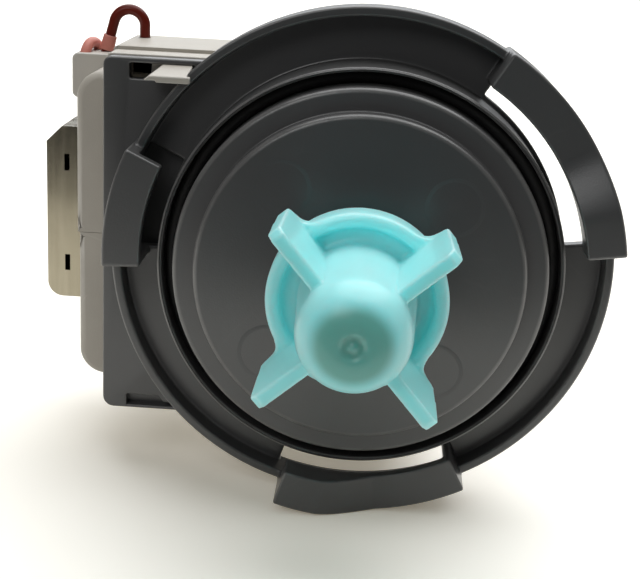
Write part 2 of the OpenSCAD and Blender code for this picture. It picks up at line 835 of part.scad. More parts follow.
// Terminal box behind the corner of the upper coil cover
module terminal_box() {
    color(pale_grey) difference() {
        translate([0, 0, box_end_z]) linear_extrude(box_d)
            panel(-box_left, -box_left + box_w, box_y, box_top_y, [0.8, 1.2, 1.2, 0.8]);
        for (x = tab_x)
            block([x - tab_t / 2 - fit, tab_y - tab_w / 2 - fit, box_end_z - over],
                [x + tab_t / 2 + fit, tab_y + tab_w / 2 + fit, box_end_z + tab_root + fit]);
        lead_seats();
    }
}

// Round seats for the ends of the leads in the top of the terminal box
module lead_seats() {
    leaning_leg(lead_r + fit, box_top_y - lead_seat);
    short_arch(lead_r + fit, box_top_y - lead_seat);
}

// Two spade tabs with a bevelled tip and a detent hole
module spade_terminals() {
    end_z = box_end_z - tab_len;
    root_z = box_end_z + tab_root;
    color(steel) for (x = tab_x)
        translate([x - tab_t / 2, tab_y, 0]) rotate([90, 0, 90]) linear_extrude(tab_t) difference() {
            polygon([[-tab_w / 2, root_z], [-tab_w / 2, end_z + tab_bevel], [-tab_w / 2 + tab_bevel, end_z],
                [tab_w / 2 - tab_bevel, end_z], [tab_w / 2, end_z + tab_bevel], [tab_w / 2, root_z]]);
            translate([0, end_z + detent_at]) circle(r = detent_r);
        }
}

// Thermal cut-off on top of the upper winding
module thermal_cutoff() {
    low = coil_top_y + flange_extra + 2 * fit;
    color(natural) block([cutoff_x, low, loop_z - cutoff_d / 2],
        [cutoff_x + cutoff_w, low + cutoff_h - flange_extra, loop_z + cutoff_d / 2]);
}

// Leaning leg of the lead loop, from just inside the end of its bend down to a given height
module leaning_leg(r, low) {
    inset = 0.3;
    translate([loop_end[0], loop_end[1], loop_z]) rotate([90, 0, 0]) rotate([0, -loop_lean, 0])
        translate([0, 0, -inset]) cylinder(r = r, h = (loop_end[1] - low) / cos(loop_lean) + inset);
}

// Lead that rises from the terminal box and goes down through the casing to the cut-off
module lead_loop() {
    cutoff_top = coil_top_y + cutoff_h + 2 * fit;
    color(dark_red) {
        leaning_leg(lead_r - 0.02, box_top_y - lead_seat + 2 * fit);
        translate([loop_x - loop_r, loop_top_y, loop_z]) rotate_extrude(angle = 180 - loop_lean)
            translate([loop_r, 0]) circle(r = lead_r);
        translate([loop_x, cutoff_top + fit, loop_z]) rotate([-90, 0, 0])
            cylinder(r = lead_r, h = loop_top_y - cutoff_top - fit);
    }
}

// Flat arch of the short lead: a half turn that lies partly in the terminal box, on two short legs
module short_arch(r, low) {
    top = box_top_y - short_sink;
    translate([short_at[0], top, short_at[1]]) rotate([0, short_turn, 0]) {
        translate([short_r, 0, 0]) rotate_extrude(angle = 180) translate([short_r, 0]) circle(r = r);
        for (x = [0, 2 * short_r])
            translate([x, low - top, 0]) rotate([-90, 0, 0]) cylinder(r = r, h = top - low);
    }
}

// Short lead with both ends in the terminal box
module short_lead() {
    color(salmon) short_arch(lead_r, box_top_y - lead_seat + fit);
}

// Shaft with chamfered ends
module rotor_shaft() {
    color(steel) rotate_extrude() polygon([[0, shaft_end_z], [shaft_r - 0.4, shaft_end_z],
        [shaft_r, shaft_end_z + 0.4], [shaft_r, shaft_tip_z - 0.6], [shaft_r - 0.6, shaft_tip_z],
        [0, shaft_tip_z]]);
}

// Magnet ring of the rotor
module rotor_magnet() {
    color(black) ring(magnet_r, magnet_in_r, magnet_z - magnet_len, magnet_z);
}

// Moulded core that ties the magnet to the shaft, with a journal towards the front bush
module magnet_core() {
    bore = shaft_r + run;
    front = front_bush_back - 2 * run - washer_t;
    color(natural) rotate_extrude() polygon([[bore, rotor_end_z], [magnet_in_r - 1, rotor_end_z],
        [magnet_in_r - run, magnet_z - magnet_len], [magnet_in_r - run, magnet_z],
        [magnet_in_r - 1, rotor_z], [journal_r, rotor_z], [journal_r, front], [bore, front]]);
}

// Thrust washers at both ends of the rotor
module thrust_washers() {
    color(natural) {
        ring(journal_r, shaft_r + run, front_bush_back - run - washer_t, front_bush_back - run);
        ring(journal_r, shaft_r + run, rotor_end_z - run - washer_t, rotor_end_z - run);
    }
}

// Driving lug on the end of the shaft
module drive_dog() {
    color(natural) difference() {
        union() {
            drum(dog_r, dog_z, dog_end_z);
            ring_part(dog_r - over, lug_r, -lug_a / 2, lug_a, lug_z, lug_end_z);
        }
        drum(shaft_r + run, dog_z - over, dog_end_z + over);
    }
}

// Rubber bumpers on both flanks of the driving lug
module dog_bumpers() {
    color(black) for (at = [-lug_a / 2 - bumper_a, lug_a / 2])
        ring_part(dog_r + fit, lug_r, at, bumper_a, lug_z + bumper_inset, lug_end_z - bumper_inset);
}

// Outline of the hub and back disc, as it is turned round the shaft
module hub_outline() {
    rim_r = disc_rim_w / 2;
    flat_r = hub_r - hub_draft - nose_round;
    gate_r = min(2, flat_r - 0.1);
    polygon(concat(
        [[0, disc_back_z], [disc_r - 0.6, disc_back_z], [disc_r, disc_back_z + 0.6]],
        arc(disc_r - rim_r, disc_z - rim_r, rim_r, 0, 180, 8),
        [[disc_r - disc_rim_w, disc_floor_z], [hub_r + 0.6, disc_floor_z], [hub_r, disc_floor_z + 0.6]],
        arc(flat_r, nose_z - nose_round, nose_round, 0, 90, 9),
        [[gate_r, nose_z], [gate_r - 0.4, nose_z - 0.4], [0.7, nose_z - 0.4],
         [0.5, nose_z - 0.1], [0, nose_z - 0.1]]));
}

// One straight blade with a bevelled tip, from the back disc's rim to the hub
module blade() {
    bevel = 1.2;
    rear_z = disc_z - disc_rim_w / 2;
    rotate([90, 0, 0]) translate([0, 0, -blade_t / 2]) linear_extrude(blade_t)
        polygon([[hub_in_r + 1, disc_floor_z - 0.4], [disc_r - disc_rim_w / 2, disc_floor_z - 0.4],
            [disc_r - disc_rim_w / 2, rear_z], [impeller_r - bevel, rear_z + 1.4],
            [impeller_r, rear_z + 1.4 + bevel], [impeller_r, blade_front_z - bevel],
            [impeller_r - bevel, blade_front_z], [hub_in_r + 1, blade_front_z]]);
}

// Impeller: back disc, hub and blades in one moulding, hollow for the coupling
module impeller() {
    color(aqua) union() {
        difference() {
            union() {
                rotate_extrude() hub_outline();
                for (i = [0 : 3])
                    rotate([0, 0, blade_at + 90 * i]) blade();
            }
            drum(hub_in_r, disc_back_z - over, hub_floor_z);
            drum(cap_r + fit, disc_back_z - over, cap_z);
            drum(shaft_r + run, hub_floor_z - over, hub_floor_z + guide_depth);
        }
        ring_part(dog_r + air, hub_in_r + over, driven_lug_at - lug_a / 2, lug_a, lug_z,
            hub_floor_z + over);
    }
}

// Cap that closes the back of the hub and guides it on the shaft
module coupling_cap() {
    color(natural) ring(cap_r, shaft_r + run, disc_back_z, cap_z - fit);
}

upright() pump_flange();
upright() front_cover();
upright() spigot_seal();
upright() shaft_seal();
upright() bearing_holder();
upright() front_bearing();
upright() front_cushion();
upright() rear_bearing();
upright() rear_cushion();
upright() stator_core();
upright() upper_bobbin();
upright() lower_bobbin();
upright() upper_winding();
upright() lower_winding();
upright() upper_coil_cover();
upright() lower_coil_cover();
upright() stator_frame();
upright() stator_back();
upright() terminal_box();
upright() spade_terminals();
upright() thermal_cutoff();
upright() lead_loop();
upright() short_lead();
upright() rotor_shaft();
upright() rotor_magnet();
upright() magnet_core();
upright() thrust_washers();
upright() drive_dog();
upright() dog_bumpers();
upright() impeller();
upright() coupling_cap();
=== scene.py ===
# %% [markdown]
# # A washer drain pump, dressed over its CAD frame
# The pump has a dark moulded flange with three bayonet hooks, a stepped front cover, an aqua impeller and,
# behind the flange, a small two-pole motor with white coil covers and a stack of steel sheets. The CAD
# frame gives every size and place. This lesson adds what the frame leaves plain: soft edges, single sheets
# and finishes. Sizes are written in millimetres, and MM turns them into metres.
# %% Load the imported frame
import json
import math

import bmesh
import bpy
import numpy as np
from mathutils import Matrix, Vector
from mathutils.bvhtree import BVHTree


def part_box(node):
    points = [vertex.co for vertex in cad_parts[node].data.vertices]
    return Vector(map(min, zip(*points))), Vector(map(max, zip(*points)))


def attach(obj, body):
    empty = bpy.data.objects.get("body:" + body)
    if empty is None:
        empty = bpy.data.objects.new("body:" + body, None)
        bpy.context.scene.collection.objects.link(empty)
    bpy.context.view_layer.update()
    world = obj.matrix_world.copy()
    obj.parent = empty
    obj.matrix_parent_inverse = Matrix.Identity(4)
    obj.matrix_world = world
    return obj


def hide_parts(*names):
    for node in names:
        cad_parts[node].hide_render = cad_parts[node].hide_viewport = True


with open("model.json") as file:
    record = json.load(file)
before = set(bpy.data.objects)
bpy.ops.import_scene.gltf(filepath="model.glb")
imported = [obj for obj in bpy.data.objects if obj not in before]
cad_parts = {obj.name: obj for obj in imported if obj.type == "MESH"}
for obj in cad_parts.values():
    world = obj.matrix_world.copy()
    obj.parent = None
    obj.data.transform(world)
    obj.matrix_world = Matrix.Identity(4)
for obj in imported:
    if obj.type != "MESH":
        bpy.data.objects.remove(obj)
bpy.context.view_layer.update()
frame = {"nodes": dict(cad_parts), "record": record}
scene = bpy.context.scene
MM = 0.001

# %% [markdown]
# ## Camera
# The photograph was taken from in front, a little above the shaft, with a long lens. A camera is an object
# whose local -Z looks into the scene, so its matrix is built from three directions: right, up and
# backwards. The lens follows from the focal length in pixels and the width of the picture.
# %% Camera
photo_width, focal_pixels = 640, 1300
camera_place = (0.00169, -0.21947, 0.06036)


def add_object(name, data):
    obj = bpy.data.objects.new(name, data)
    scene.collection.objects.link(obj)
    return obj


camera_data = bpy.data.cameras.new("photo_camera")
camera_data.sensor_width = 36.0
camera_data.lens = focal_pixels * camera_data.sensor_width / photo_width
camera = add_object("photo_camera", camera_data)
right = Vector((0.9974, 0.0533, 0.0486))
up = Vector((-0.0618, 0.2839, 0.9569))
back = Vector((0.0372, -0.9574, 0.2865))
camera_turn = Matrix((right, up, back)).transposed().to_4x4()
camera.matrix_world = Matrix.Translation(camera_place) @ camera_turn
scene.camera = camera
print("camera looks along", tuple(round(-v, 3) for v in back))

# %% [markdown]
# ## Node helpers
# Materials are node trees. Small helpers keep the cells short. One fills the inputs of a node, one adds a
# node with its settings, and most of the others are the nodes that this lesson uses again and again: a mix
# of two colours by a mask, a sum or product, a noise, and a ramp from one value to another.
# %% Node helpers
def feed(tree, node, inputs):
    """Fills inputs of a node. Each is either a value or a socket to link."""
    for name, value in inputs.items():
        if isinstance(value, bpy.types.NodeSocket):
            tree.links.new(value, node.inputs[name])
        else:
            node.inputs[name].default_value = value


def add_node(tree, kind, inputs=None, **settings):
    node = tree.nodes.new(kind)
    for name, value in settings.items():
        setattr(node, name, value)
    feed(tree, node, inputs or {})
    return node


def mix_colour(tree, mask, first, second):
    """Mix node for colours: inputs 0, 6 and 7 are the mask and the colours, output 2 is the result."""
    return add_node(tree, "ShaderNodeMix", {0: mask, 6: first, 7: second}, data_type="RGBA").outputs[2]


def maths(tree, kind, first, second=0.0, clamp=False):
    inputs = {0: first, 1: second}
    return add_node(tree, "ShaderNodeMath", inputs, operation=kind, use_clamp=clamp).outputs[0]


def noise(tree, place, scale, detail, **more):
    inputs = {"Vector": place, "Scale": scale, "Detail": detail, **more}
    return add_node(tree, "ShaderNodeTexNoise", inputs)


def ramp(tree, value, low, high, start=0.0, end=1.0, **settings):
    """Gives start at the low value and end at the high value."""
    inputs = {"Value": value, "From Min": low, "From Max": high, "To Min": start, "To Max": end}
    return add_node(tree, "ShaderNodeMapRange", inputs, **settings).outputs[0]


def object_place(tree):
    return add_node(tree, "ShaderNodeTexCoord").outputs["Object"]


def open_material(name):
    material = bpy.data.materials.new(name)
    material.use_nodes = True
    tree = material.node_tree
    return material, tree, tree.nodes["Principled BSDF"]


def rgb(r, g, b):
    """Colour as a picture shows it, 0 to 255, made linear for a shader."""
    return tuple(((c / 255 + 0.055) / 1.055) ** 2.4 if c > 10 else c / 3294.6 for c in (r, g, b)) + (1.0,)


print("dark plastic in linear light:", tuple(round(c, 3) for c in rgb(71, 71, 71)))

# %% [markdown]
# ## Shared effects as node groups
# Every moulding of the pump has the same fine skin from its steel mould, paler edges that are partly rubbed
# wear and partly a painted highlight, a little dust on faces that look up, and hairline scuffs. Each effect
# is a node group with named sockets, made once, so that a material only chooses the amounts. A group hands
# out masks and heights, never a shader.
# %% Group helper
def new_group(name, inputs, outputs):
    group = bpy.data.node_groups.new(name, "ShaderNodeTree")
    for socket, value in inputs.items():
        item = group.interface.new_socket(socket, in_out="INPUT", socket_type="NodeSocketFloat")
        item.default_value = value
    for socket in outputs:
        group.interface.new_socket(socket, in_out="OUTPUT", socket_type="NodeSocketFloat")
    return group, group.nodes.new("NodeGroupInput"), group.nodes.new("NodeGroupOutput")


def use_group(tree, group, inputs=None):
    return add_node(tree, "ShaderNodeGroup", inputs, node_tree=group)


# %% Moulded skin
skin_group, g_in, g_out = new_group("moulded_skin", {"Grain Scale": 3200.0, "Patch Scale": 70.0},
                                    ("Height", "Patches"))
place = object_place(skin_group)
fine = noise(skin_group, place, scale=g_in.outputs["Grain Scale"], detail=2.0, Roughness=0.6).outputs[0]
coarse = noise(skin_group, place, scale=g_in.outputs["Patch Scale"], detail=4.0, Roughness=0.55).outputs[0]
feed(skin_group, g_out, {"Height": fine, "Patches": ramp(skin_group, coarse, low=0.32, high=0.68)})

# %% Rubbed edges and painted edge highlights
# Mask of the paler edges: partly rubbed wear, partly a painted highlight where an edge catches the light.
rubbed_and_highlit_edge_group, g_in, g_out = new_group("rubbed_edges", {"Amount": 0.6, "Break Scale": 260.0}, ("Mask",))
place = object_place(rubbed_and_highlit_edge_group)
edge = add_node(rubbed_and_highlit_edge_group, "ShaderNodeAttribute", attribute_name="edge").outputs["Fac"]
breaks = noise(rubbed_and_highlit_edge_group, place, scale=g_in.outputs["Break Scale"], detail=3.0).outputs[0]
broken = maths(rubbed_and_highlit_edge_group, "MULTIPLY", edge, ramp(rubbed_and_highlit_edge_group, breaks, low=0.3, high=0.62, start=0.35))
worn_and_highlit = maths(rubbed_and_highlit_edge_group, "MULTIPLY", broken, g_in.outputs["Amount"], clamp=True)
feed(rubbed_and_highlit_edge_group, g_out, {"Mask": worn_and_highlit})

# %% Dust on faces that look up
dust_group, g_in, g_out = new_group("settled_dust", {"Amount": 0.2, "Speck Scale": 900.0}, ("Mask",))
place = object_place(dust_group)
normal = add_node(dust_group, "ShaderNodeNewGeometry").outputs["Normal"]
facing = add_node(dust_group, "ShaderNodeSeparateXYZ", {"Vector": normal}).outputs["Z"]
level = ramp(dust_group, facing, low=0.25, high=0.95)
film = noise(dust_group, place, scale=180.0, detail=5.0).outputs[0]
speck = noise(dust_group, place, scale=g_in.outputs["Speck Scale"], detail=1.0).outputs[0]
dots = ramp(dust_group, speck, low=0.7, high=0.78)
settled = maths(dust_group, "MULTIPLY", level, maths(dust_group, "ADD", film, dots))
dust_mask = maths(dust_group, "MULTIPLY", settled, g_in.outputs["Amount"], clamp=True)
feed(dust_group, g_out, {"Mask": dust_mask})

# %% Hairline scuffs
scuff_group, g_in, g_out = new_group("hairline_scuffs", {"Amount": 0.3, "Scale": 55.0}, ("Mask",))
place = object_place(scuff_group)
bend = noise(scuff_group, place, scale=25.0, detail=2.0).outputs["Color"]
swirl = add_node(scuff_group, "ShaderNodeVectorMath", {0: bend, "Scale": 0.03}, operation="SCALE").outputs[0]
moved = add_node(scuff_group, "ShaderNodeVectorMath", {0: place, 1: swirl}, operation="ADD").outputs[0]
cells = add_node(scuff_group, "ShaderNodeTexVoronoi", {"Vector": moved, "Scale": g_in.outputs["Scale"]},
                 feature="DISTANCE_TO_EDGE").outputs["Distance"]
line = ramp(scuff_group, cells, low=0.0, high=0.012, start=1.0, end=0.0)
gaps = noise(scuff_group, place, scale=140.0, detail=1.0).outputs[0]
shown = maths(scuff_group, "MULTIPLY", line, ramp(scuff_group, gaps, low=0.54, high=0.6))
scuff_mask = maths(scuff_group, "MULTIPLY", shown, g_in.outputs["Amount"], clamp=True)
feed(scuff_group, g_out, {"Mask": scuff_mask})
print("shader groups:", [g.name for g in bpy.data.node_groups])

# %% [markdown]
# ## Finishes
# Most pieces are injection moulded, so one function makes a plastic from a colour, a roughness and the
# amounts of each effect. Rubber and ferrite take the same function. A number that is the same all over is
# set on the shader's own socket; only what changes over the surface comes through nodes.
# %% Plastic
dust_colour = rgb(196, 190, 180)
patch_dulling, grain_depth = 0.03, 0.2 * MM


def plastic(name, colour, highlight_and_wear_colour, rough, grain, edge, dust, scuffs, patch):
    material, tree, shader = open_material(name)
    skin = use_group(tree, skin_group)
    rub_and_highlight = use_group(tree, rubbed_and_highlit_edge_group, {"Amount": edge})
    film = use_group(tree, dust_group, {"Amount": dust})
    hair = use_group(tree, scuff_group, {"Amount": scuffs})
    deep = tuple(c * (1 - patch) for c in colour[:3]) + (1.0,)
    base = mix_colour(tree, skin.outputs["Patches"], deep, colour)
    # Paler edges: rubbed wear and a painted highlight. The scuffs below are wear only.
    base = mix_colour(tree, rub_and_highlight.outputs["Mask"], base, highlight_and_wear_colour)
    base = mix_colour(tree, hair.outputs["Mask"], base, highlight_and_wear_colour)
    base = mix_colour(tree, film.outputs["Mask"], base, dust_colour)
    patches = maths(tree, "MULTIPLY", skin.outputs["Patches"], patch_dulling)
    dull = maths(tree, "ADD", film.outputs["Mask"], patches)
    dull = maths(tree, "ADD", dull, rough, clamp=True)
    bump = add_node(tree, "ShaderNodeBump", {"Height": skin.outputs["Height"], "Strength": grain,
                                             "Distance": grain_depth})
    feed(tree, shader, {"Base Color": base, "Roughness": dull, "Normal": bump.outputs["Normal"]})
    return material


# %% Plastics, rubber and ferrite
amounts = ("colour", "highlight_and_wear_colour", "rough", "grain", "edge", "dust", "scuffs", "patch")
plastics = {
    "dark_plastic": (rgb(71, 71, 71), rgb(140, 138, 134), 0.3, 0.1, 0.26, 0.02, 0.03, 0.03),
    "aqua_plastic": (rgb(173, 252, 255), rgb(206, 253, 250), 0.3, 0.05, 0.25, 0.02, 0.04, 0.04),
    "cream_plastic": (rgb(186, 180, 169), rgb(240, 238, 232), 0.4, 0.12, 0.3, 0.1, 0.1, 0.08),
    "grey_plastic": (rgb(199, 194, 185), rgb(236, 235, 232), 0.42, 0.12, 0.3, 0.1, 0.15, 0.1),
    "natural_plastic": (rgb(222, 216, 196), rgb(240, 236, 222), 0.38, 0.1, 0.2, 0.02, 0.05, 0.1),
    "black_rubber": (rgb(20, 20, 20), rgb(60, 60, 60), 0.62, 0.3, 0.15, 0.05, 0.05, 0.25),
    "dark_red_lead": (rgb(104, 28, 14), rgb(170, 70, 60), 0.3, 0.06, 0.2, 0.05, 0.05, 0.2),
    "salmon_lead": (rgb(216, 138, 124), rgb(240, 190, 180), 0.34, 0.06, 0.2, 0.05, 0.05, 0.12),
    "ferrite": (rgb(46, 45, 47), rgb(90, 90, 92), 0.5, 0.35, 0.3, 0.0, 0.1, 0.3),
}
mirror_levels = {"dark_plastic": 0.7, "cream_plastic": 0.35, "dark_red_lead": 0.25, "salmon_lead": 0.25}
finishes = {name: plastic(name, **dict(zip(amounts, row))) for name, row in plastics.items()}


def shader_of(name):
    return finishes[name].node_tree.nodes["Principled BSDF"]


for name, level in mirror_levels.items():
    shader_of(name).inputs["Specular IOR Level"].default_value = level
soft = shader_of("aqua_plastic")
feed(finishes["aqua_plastic"].node_tree, soft, {
    "Subsurface Weight": 0.85, "Subsurface Radius": (0.4, 1.0, 1.0), "Subsurface Scale": 6 * MM})
print("plastics, rubber and ferrite:", len(finishes))

# %% [markdown]
# The nose of the impeller carries a painted shade. Light goes through the thin walls of the impeller but
# less through the thick end of its hub, and a darker, greener colour painted on the nose stands in for that.
# The mask is a disc round the shaft: the Object coordinates give the radius, and how far forward a point is.
# %% Painted shade on the impeller's nose
nose_shade_radius, nose_shade_end_radius = 4.6 * MM, 7.3 * MM
nose_shade_reach, nose_shade_end_reach = -41.2 * MM, -40.2 * MM
painted_nose_shade = rgb(118, 188, 178)
tree = finishes["aqua_plastic"].node_tree
axes = add_node(tree, "ShaderNodeSeparateXYZ", {"Vector": object_place(tree)}).outputs
squares = maths(tree, "ADD", maths(tree, "POWER", axes["X"], 2.0), maths(tree, "POWER", axes["Z"], 2.0))
radius = maths(tree, "SQRT", squares)
disc = ramp(tree, radius, nose_shade_radius, nose_shade_end_radius, start=1.0, end=0.0, interpolation_type="SMOOTHSTEP")
ahead = ramp(tree, axes["Y"], nose_shade_reach, nose_shade_end_reach, start=1.0, end=0.0)
whole = soft.inputs["Base Color"].links[0].from_socket
# Painted shade: the disc at the front of the nose gets the darker, greener colour.
base_with_nose_shade = mix_colour(tree, maths(tree, "MULTIPLY", disc, ahead), whole, painted_nose_shade)
feed(tree, soft, {"Base Color": base_with_nose_shade})
print("nose tone in", tree.name)

# %% [markdown]
# Metals differ in their marks: a rolled sheet has long streaks in one direction, turned steel has fine
# rings, a sintered bush has pores. One function takes the stretch of a noise for the streaks, and the rest
# is colour and roughness.
# %% Metals
# Paler colour of metal edges: rubbed wear and a painted highlight.
metal_highlight_and_wear_colour = rgb(236, 232, 224)
streak_depth = 0.1 * MM


def metal(name, colour, second, stretch, rough, spread, depth):
    material, tree, shader = open_material(name)
    skin = use_group(tree, skin_group, {"Patch Scale": 110.0})
    rub_and_highlight = use_group(tree, rubbed_and_highlit_edge_group, {"Amount": 0.5})
    along = add_node(tree, "ShaderNodeMapping", {"Vector": object_place(tree), "Scale": stretch}).outputs[0]
    streak = noise(tree, along, scale=1.0, detail=4.0).outputs[0]
    base = mix_colour(tree, streak, second, colour)
    # Paler edges: rubbed wear and a painted highlight.
    base = mix_colour(tree, rub_and_highlight.outputs["Mask"], base, metal_highlight_and_wear_colour)
    uneven = maths(tree, "MULTIPLY", maths(tree, "ADD", streak, skin.outputs["Patches"]), spread)
    dull = maths(tree, "ADD", uneven, rough, clamp=True)
    bump = add_node(tree, "ShaderNodeBump", {"Height": streak, "Strength": depth, "Distance": streak_depth})
    feed(tree, shader, {"Base Color": base, "Metallic": 1.0, "Roughness": dull,
                        "Normal": bump.outputs["Normal"]})
    return material


amounts = ("colour", "second", "stretch", "rough", "spread", "depth")
metals = {
    "core_steel": (rgb(164, 157, 139), rgb(134, 127, 109), (900, 900, 60), 0.1, 0.08, 0.08),
    "steel": (rgb(208, 208, 206), rgb(172, 172, 172), (300, 2400, 300), 0.14, 0.12, 0.08),
    "sintered_bronze": (rgb(176, 132, 78), rgb(120, 86, 48), (2600, 2600, 2600), 0.4, 0.1, 0.3),
    "copper_wire": (rgb(198, 116, 62), rgb(150, 74, 36), (900, 120, 900), 0.2, 0.16, 0.08),
    "tinned_brass": (rgb(214, 212, 200), rgb(184, 178, 156), (700, 160, 700), 0.22, 0.16, 0.08),
}
finishes.update({name: metal(name, **dict(zip(amounts, row))) for name, row in metals.items()})
print("finishes:", sorted(finishes))

# %% [markdown]
# ## Mesh helpers
# Almost every shape here is either turned round the shaft or pushed straight back from an outline. Both
# start from a path whose corners have a radius, so the first helper softens corners. A point of the pump is
# written as a radius, an angle and a reach in front of the flange rim, because that is how the real part is
# drawn.
# %% Paths with soft corners
longest_cut = 0.49


def softened(corners, steps=5):
    """Closed path through corners (x, y, radius), with each corner drawn as an arc."""
    path = []
    for i, (x, y, r) in enumerate(corners):
        here = Vector((x, y))
        if r <= 0:
            path.append((x, y))
            continue
        before = Vector(corners[i - 1][:2]) - here
        after = Vector(corners[(i + 1) % len(corners)][:2]) - here
        u, v = before.normalized(), after.normalized()
        half = math.acos(max(-1.0, min(1.0, u.dot(v)))) / 2
        cut = min(r / math.tan(half), longest_cut * before.length, longest_cut * after.length)
        radius = cut * math.tan(half)
        centre = here + (u + v).normalized() * (radius / math.sin(half))
        start, end = here + u * cut - centre, here + v * cut - centre
        turn = math.atan2(start.x * end.y - start.y * end.x, start.dot(end))
        first = math.atan2(start.y, start.x)
        path += [(centre.x + radius * math.cos(first + turn * k / steps),
                  centre.y + radius * math.sin(first + turn * k / steps)) for k in range(steps + 1)]
    return path


def spot(r, angle, reach):
    a = math.radians(angle)
    return Vector((r * math.cos(a), -reach, r * math.sin(a))) * MM


def from_local(x, y, reach):
    return Vector((x, -reach, y)) * MM


# %% Meshes that are opened, changed and closed
def open_mesh(mesh):
    bm = bmesh.new()
    bm.from_mesh(mesh)
    return bm


def close_mesh(bm, mesh):
    bm.to_mesh(mesh)
    bm.free()


def object_from(name, bm):
    mesh = bpy.data.meshes.new(name)
    close_mesh(bm, mesh)
    return add_object(name, mesh)


def new_object(name, points, faces):
    mesh = bpy.data.meshes.new(name)
    mesh.from_pydata([tuple(p) for p in points], [], faces)
    mesh.update()
    return add_object(name, mesh)


def clean(obj, merge=1e-7):
    """Merges doubles and turns all faces outwards."""
    bm = open_mesh(obj.data)
    bmesh.ops.remove_doubles(bm, verts=bm.verts, dist=merge)
    bmesh.ops.dissolve_degenerate(bm, edges=bm.edges, dist=merge)
    bmesh.ops.recalc_face_normals(bm, faces=bm.faces)
    close_mesh(bm, obj.data)
    return obj


def join(name, *objects):
    """One object from several, which are removed."""
    bm = bmesh.new()
    for obj in objects:
        bm.from_mesh(obj.data)
    for obj in objects:
        bpy.data.objects.remove(obj)
    return object_from(name, bm)


# %% Turned and pushed shapes
def turned(name, profile, steps=180):
    """Closed profile of (radius, reach) turned round the shaft."""
    count = len(profile)
    points = [spot(r, 360 * s / steps, reach) for s in range(steps) for r, reach in profile]
    faces = [(s * count + i, s * count + (i + 1) % count, (s + 1) % steps * count + (i + 1) % count,
              (s + 1) % steps * count + i) for s in range(steps) for i in range(count)]
    return clean(new_object(name, points, faces))


def prism(name, first, second):
    """Solid between two outlines with the same number of points."""
    n = len(first)
    ends = [tuple(range(n)), tuple(range(2 * n - 1, n - 1, -1))]
    walls = [(i, n + i, n + (i + 1) % n, (i + 1) % n) for i in range(n)]
    return clean(new_object(name, first + second, ends + walls))


# %% Settled modifiers and smooth shading
def shown_mesh(obj):
    """Plain mesh of what an object shows with its modifiers."""
    graph = bpy.context.evaluated_depsgraph_get()
    return bpy.data.meshes.new_from_object(obj.evaluated_get(graph), depsgraph=graph)


def settle(obj):
    """Makes what the modifiers show the object's own mesh."""
    mesh = shown_mesh(obj)
    obj.modifiers.clear()
    obj.data = mesh
    return obj


def smooth(obj, angle=38):
    obj.data.shade_smooth()
    obj.data.set_sharp_from_angle(angle=math.radians(angle))
    return obj


# %% [markdown]
# A bevel rounds the edges that carry a weight, so the weights say which edges stay square. A bevel can throw
# a vertex out of a thin wall, and such a vertex is pulled back onto the shape that it came from. What is
# rounded is also marked, so that the shader knows where an edge gets its rubbed wear and its painted
# highlight.
# %% Rounding and edge marks
same_height, proud_limit = 0.2, 0.02
marked_turn = 67


def mark_edges(obj, low=13, high=85):
    """Writes an attribute that is 1 inside outward roundings and 0 on flat faces."""
    bm = open_mesh(obj.data)
    layer = bm.verts.layers.float.get("edge") or bm.verts.layers.float.new("edge")
    for e in bm.edges:
        if len(e.link_faces) == 2 and math.radians(low) < e.calc_face_angle_signed(0) < math.radians(high):
            for v in e.verts:
                v[layer] = 1.0
    close_mesh(bm, obj.data)
    return obj


def pull_in(obj, source, reach):
    """Sets vertices that a bevel pushed out of the source mesh, or too far into it, back onto it."""
    skin = BVHTree.FromPolygons([v.co for v in source.vertices], [p.vertices for p in source.polygons])
    for v in obj.data.vertices:
        place, normal, _, distance = skin.find_nearest(v.co)
        outward = (v.co - place).dot(normal) > 0
        if distance > reach or outward and distance > proud_limit * MM:
            v.co = place


def at_height(edge, height):
    return all(abs(v.co.z / MM - height) < same_height for v in edge.verts)


def weigh_edges(obj, angle, square=None):
    """Gives every edge that is to be rounded a bevel weight; edges at one height can stay square."""
    bm = open_mesh(obj.data)
    layer = bm.edges.layers.float.new("bevel_weight_edge")
    for e in bm.edges:
        stays_square = square is not None and at_height(e, square)
        if len(e.link_faces) == 2 and e.calc_face_angle(0) > math.radians(angle) and not stays_square:
            e[layer] = 1.0
    close_mesh(bm, obj.data)


def round_edges(obj, width, segments=3, angle=32, source=None, reach=0.0, square=None):
    weigh_edges(obj, angle, square)
    bevel = obj.modifiers.new("round", "BEVEL")
    bevel.width = width * MM
    bevel.segments = segments
    bevel.limit_method = "WEIGHT"
    bevel.use_clamp_overlap = False
    bevel.miter_outer = "MITER_ARC"
    settle(obj)
    if source:
        pull_in(obj, source, reach)
    mark_edges(obj, low=marked_turn / segments)
    obj.data.shade_smooth()
    flat = obj.modifiers.new("flat", "WEIGHTED_NORMAL")
    flat.weight = 60
    return settle(obj)


# %% Finish, body and CAD nodes of a piece
def dress(obj, finish, body, *nodes):
    """Gives a finished piece its material and its body, and hides the CAD nodes that it stands for."""
    obj.data.materials.clear()
    obj.data.materials.append(finishes[finish])
    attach(obj, body)
    if nodes:
        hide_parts(*nodes)
    print(obj.name, len(obj.data.polygons), "faces on", body)
    return obj


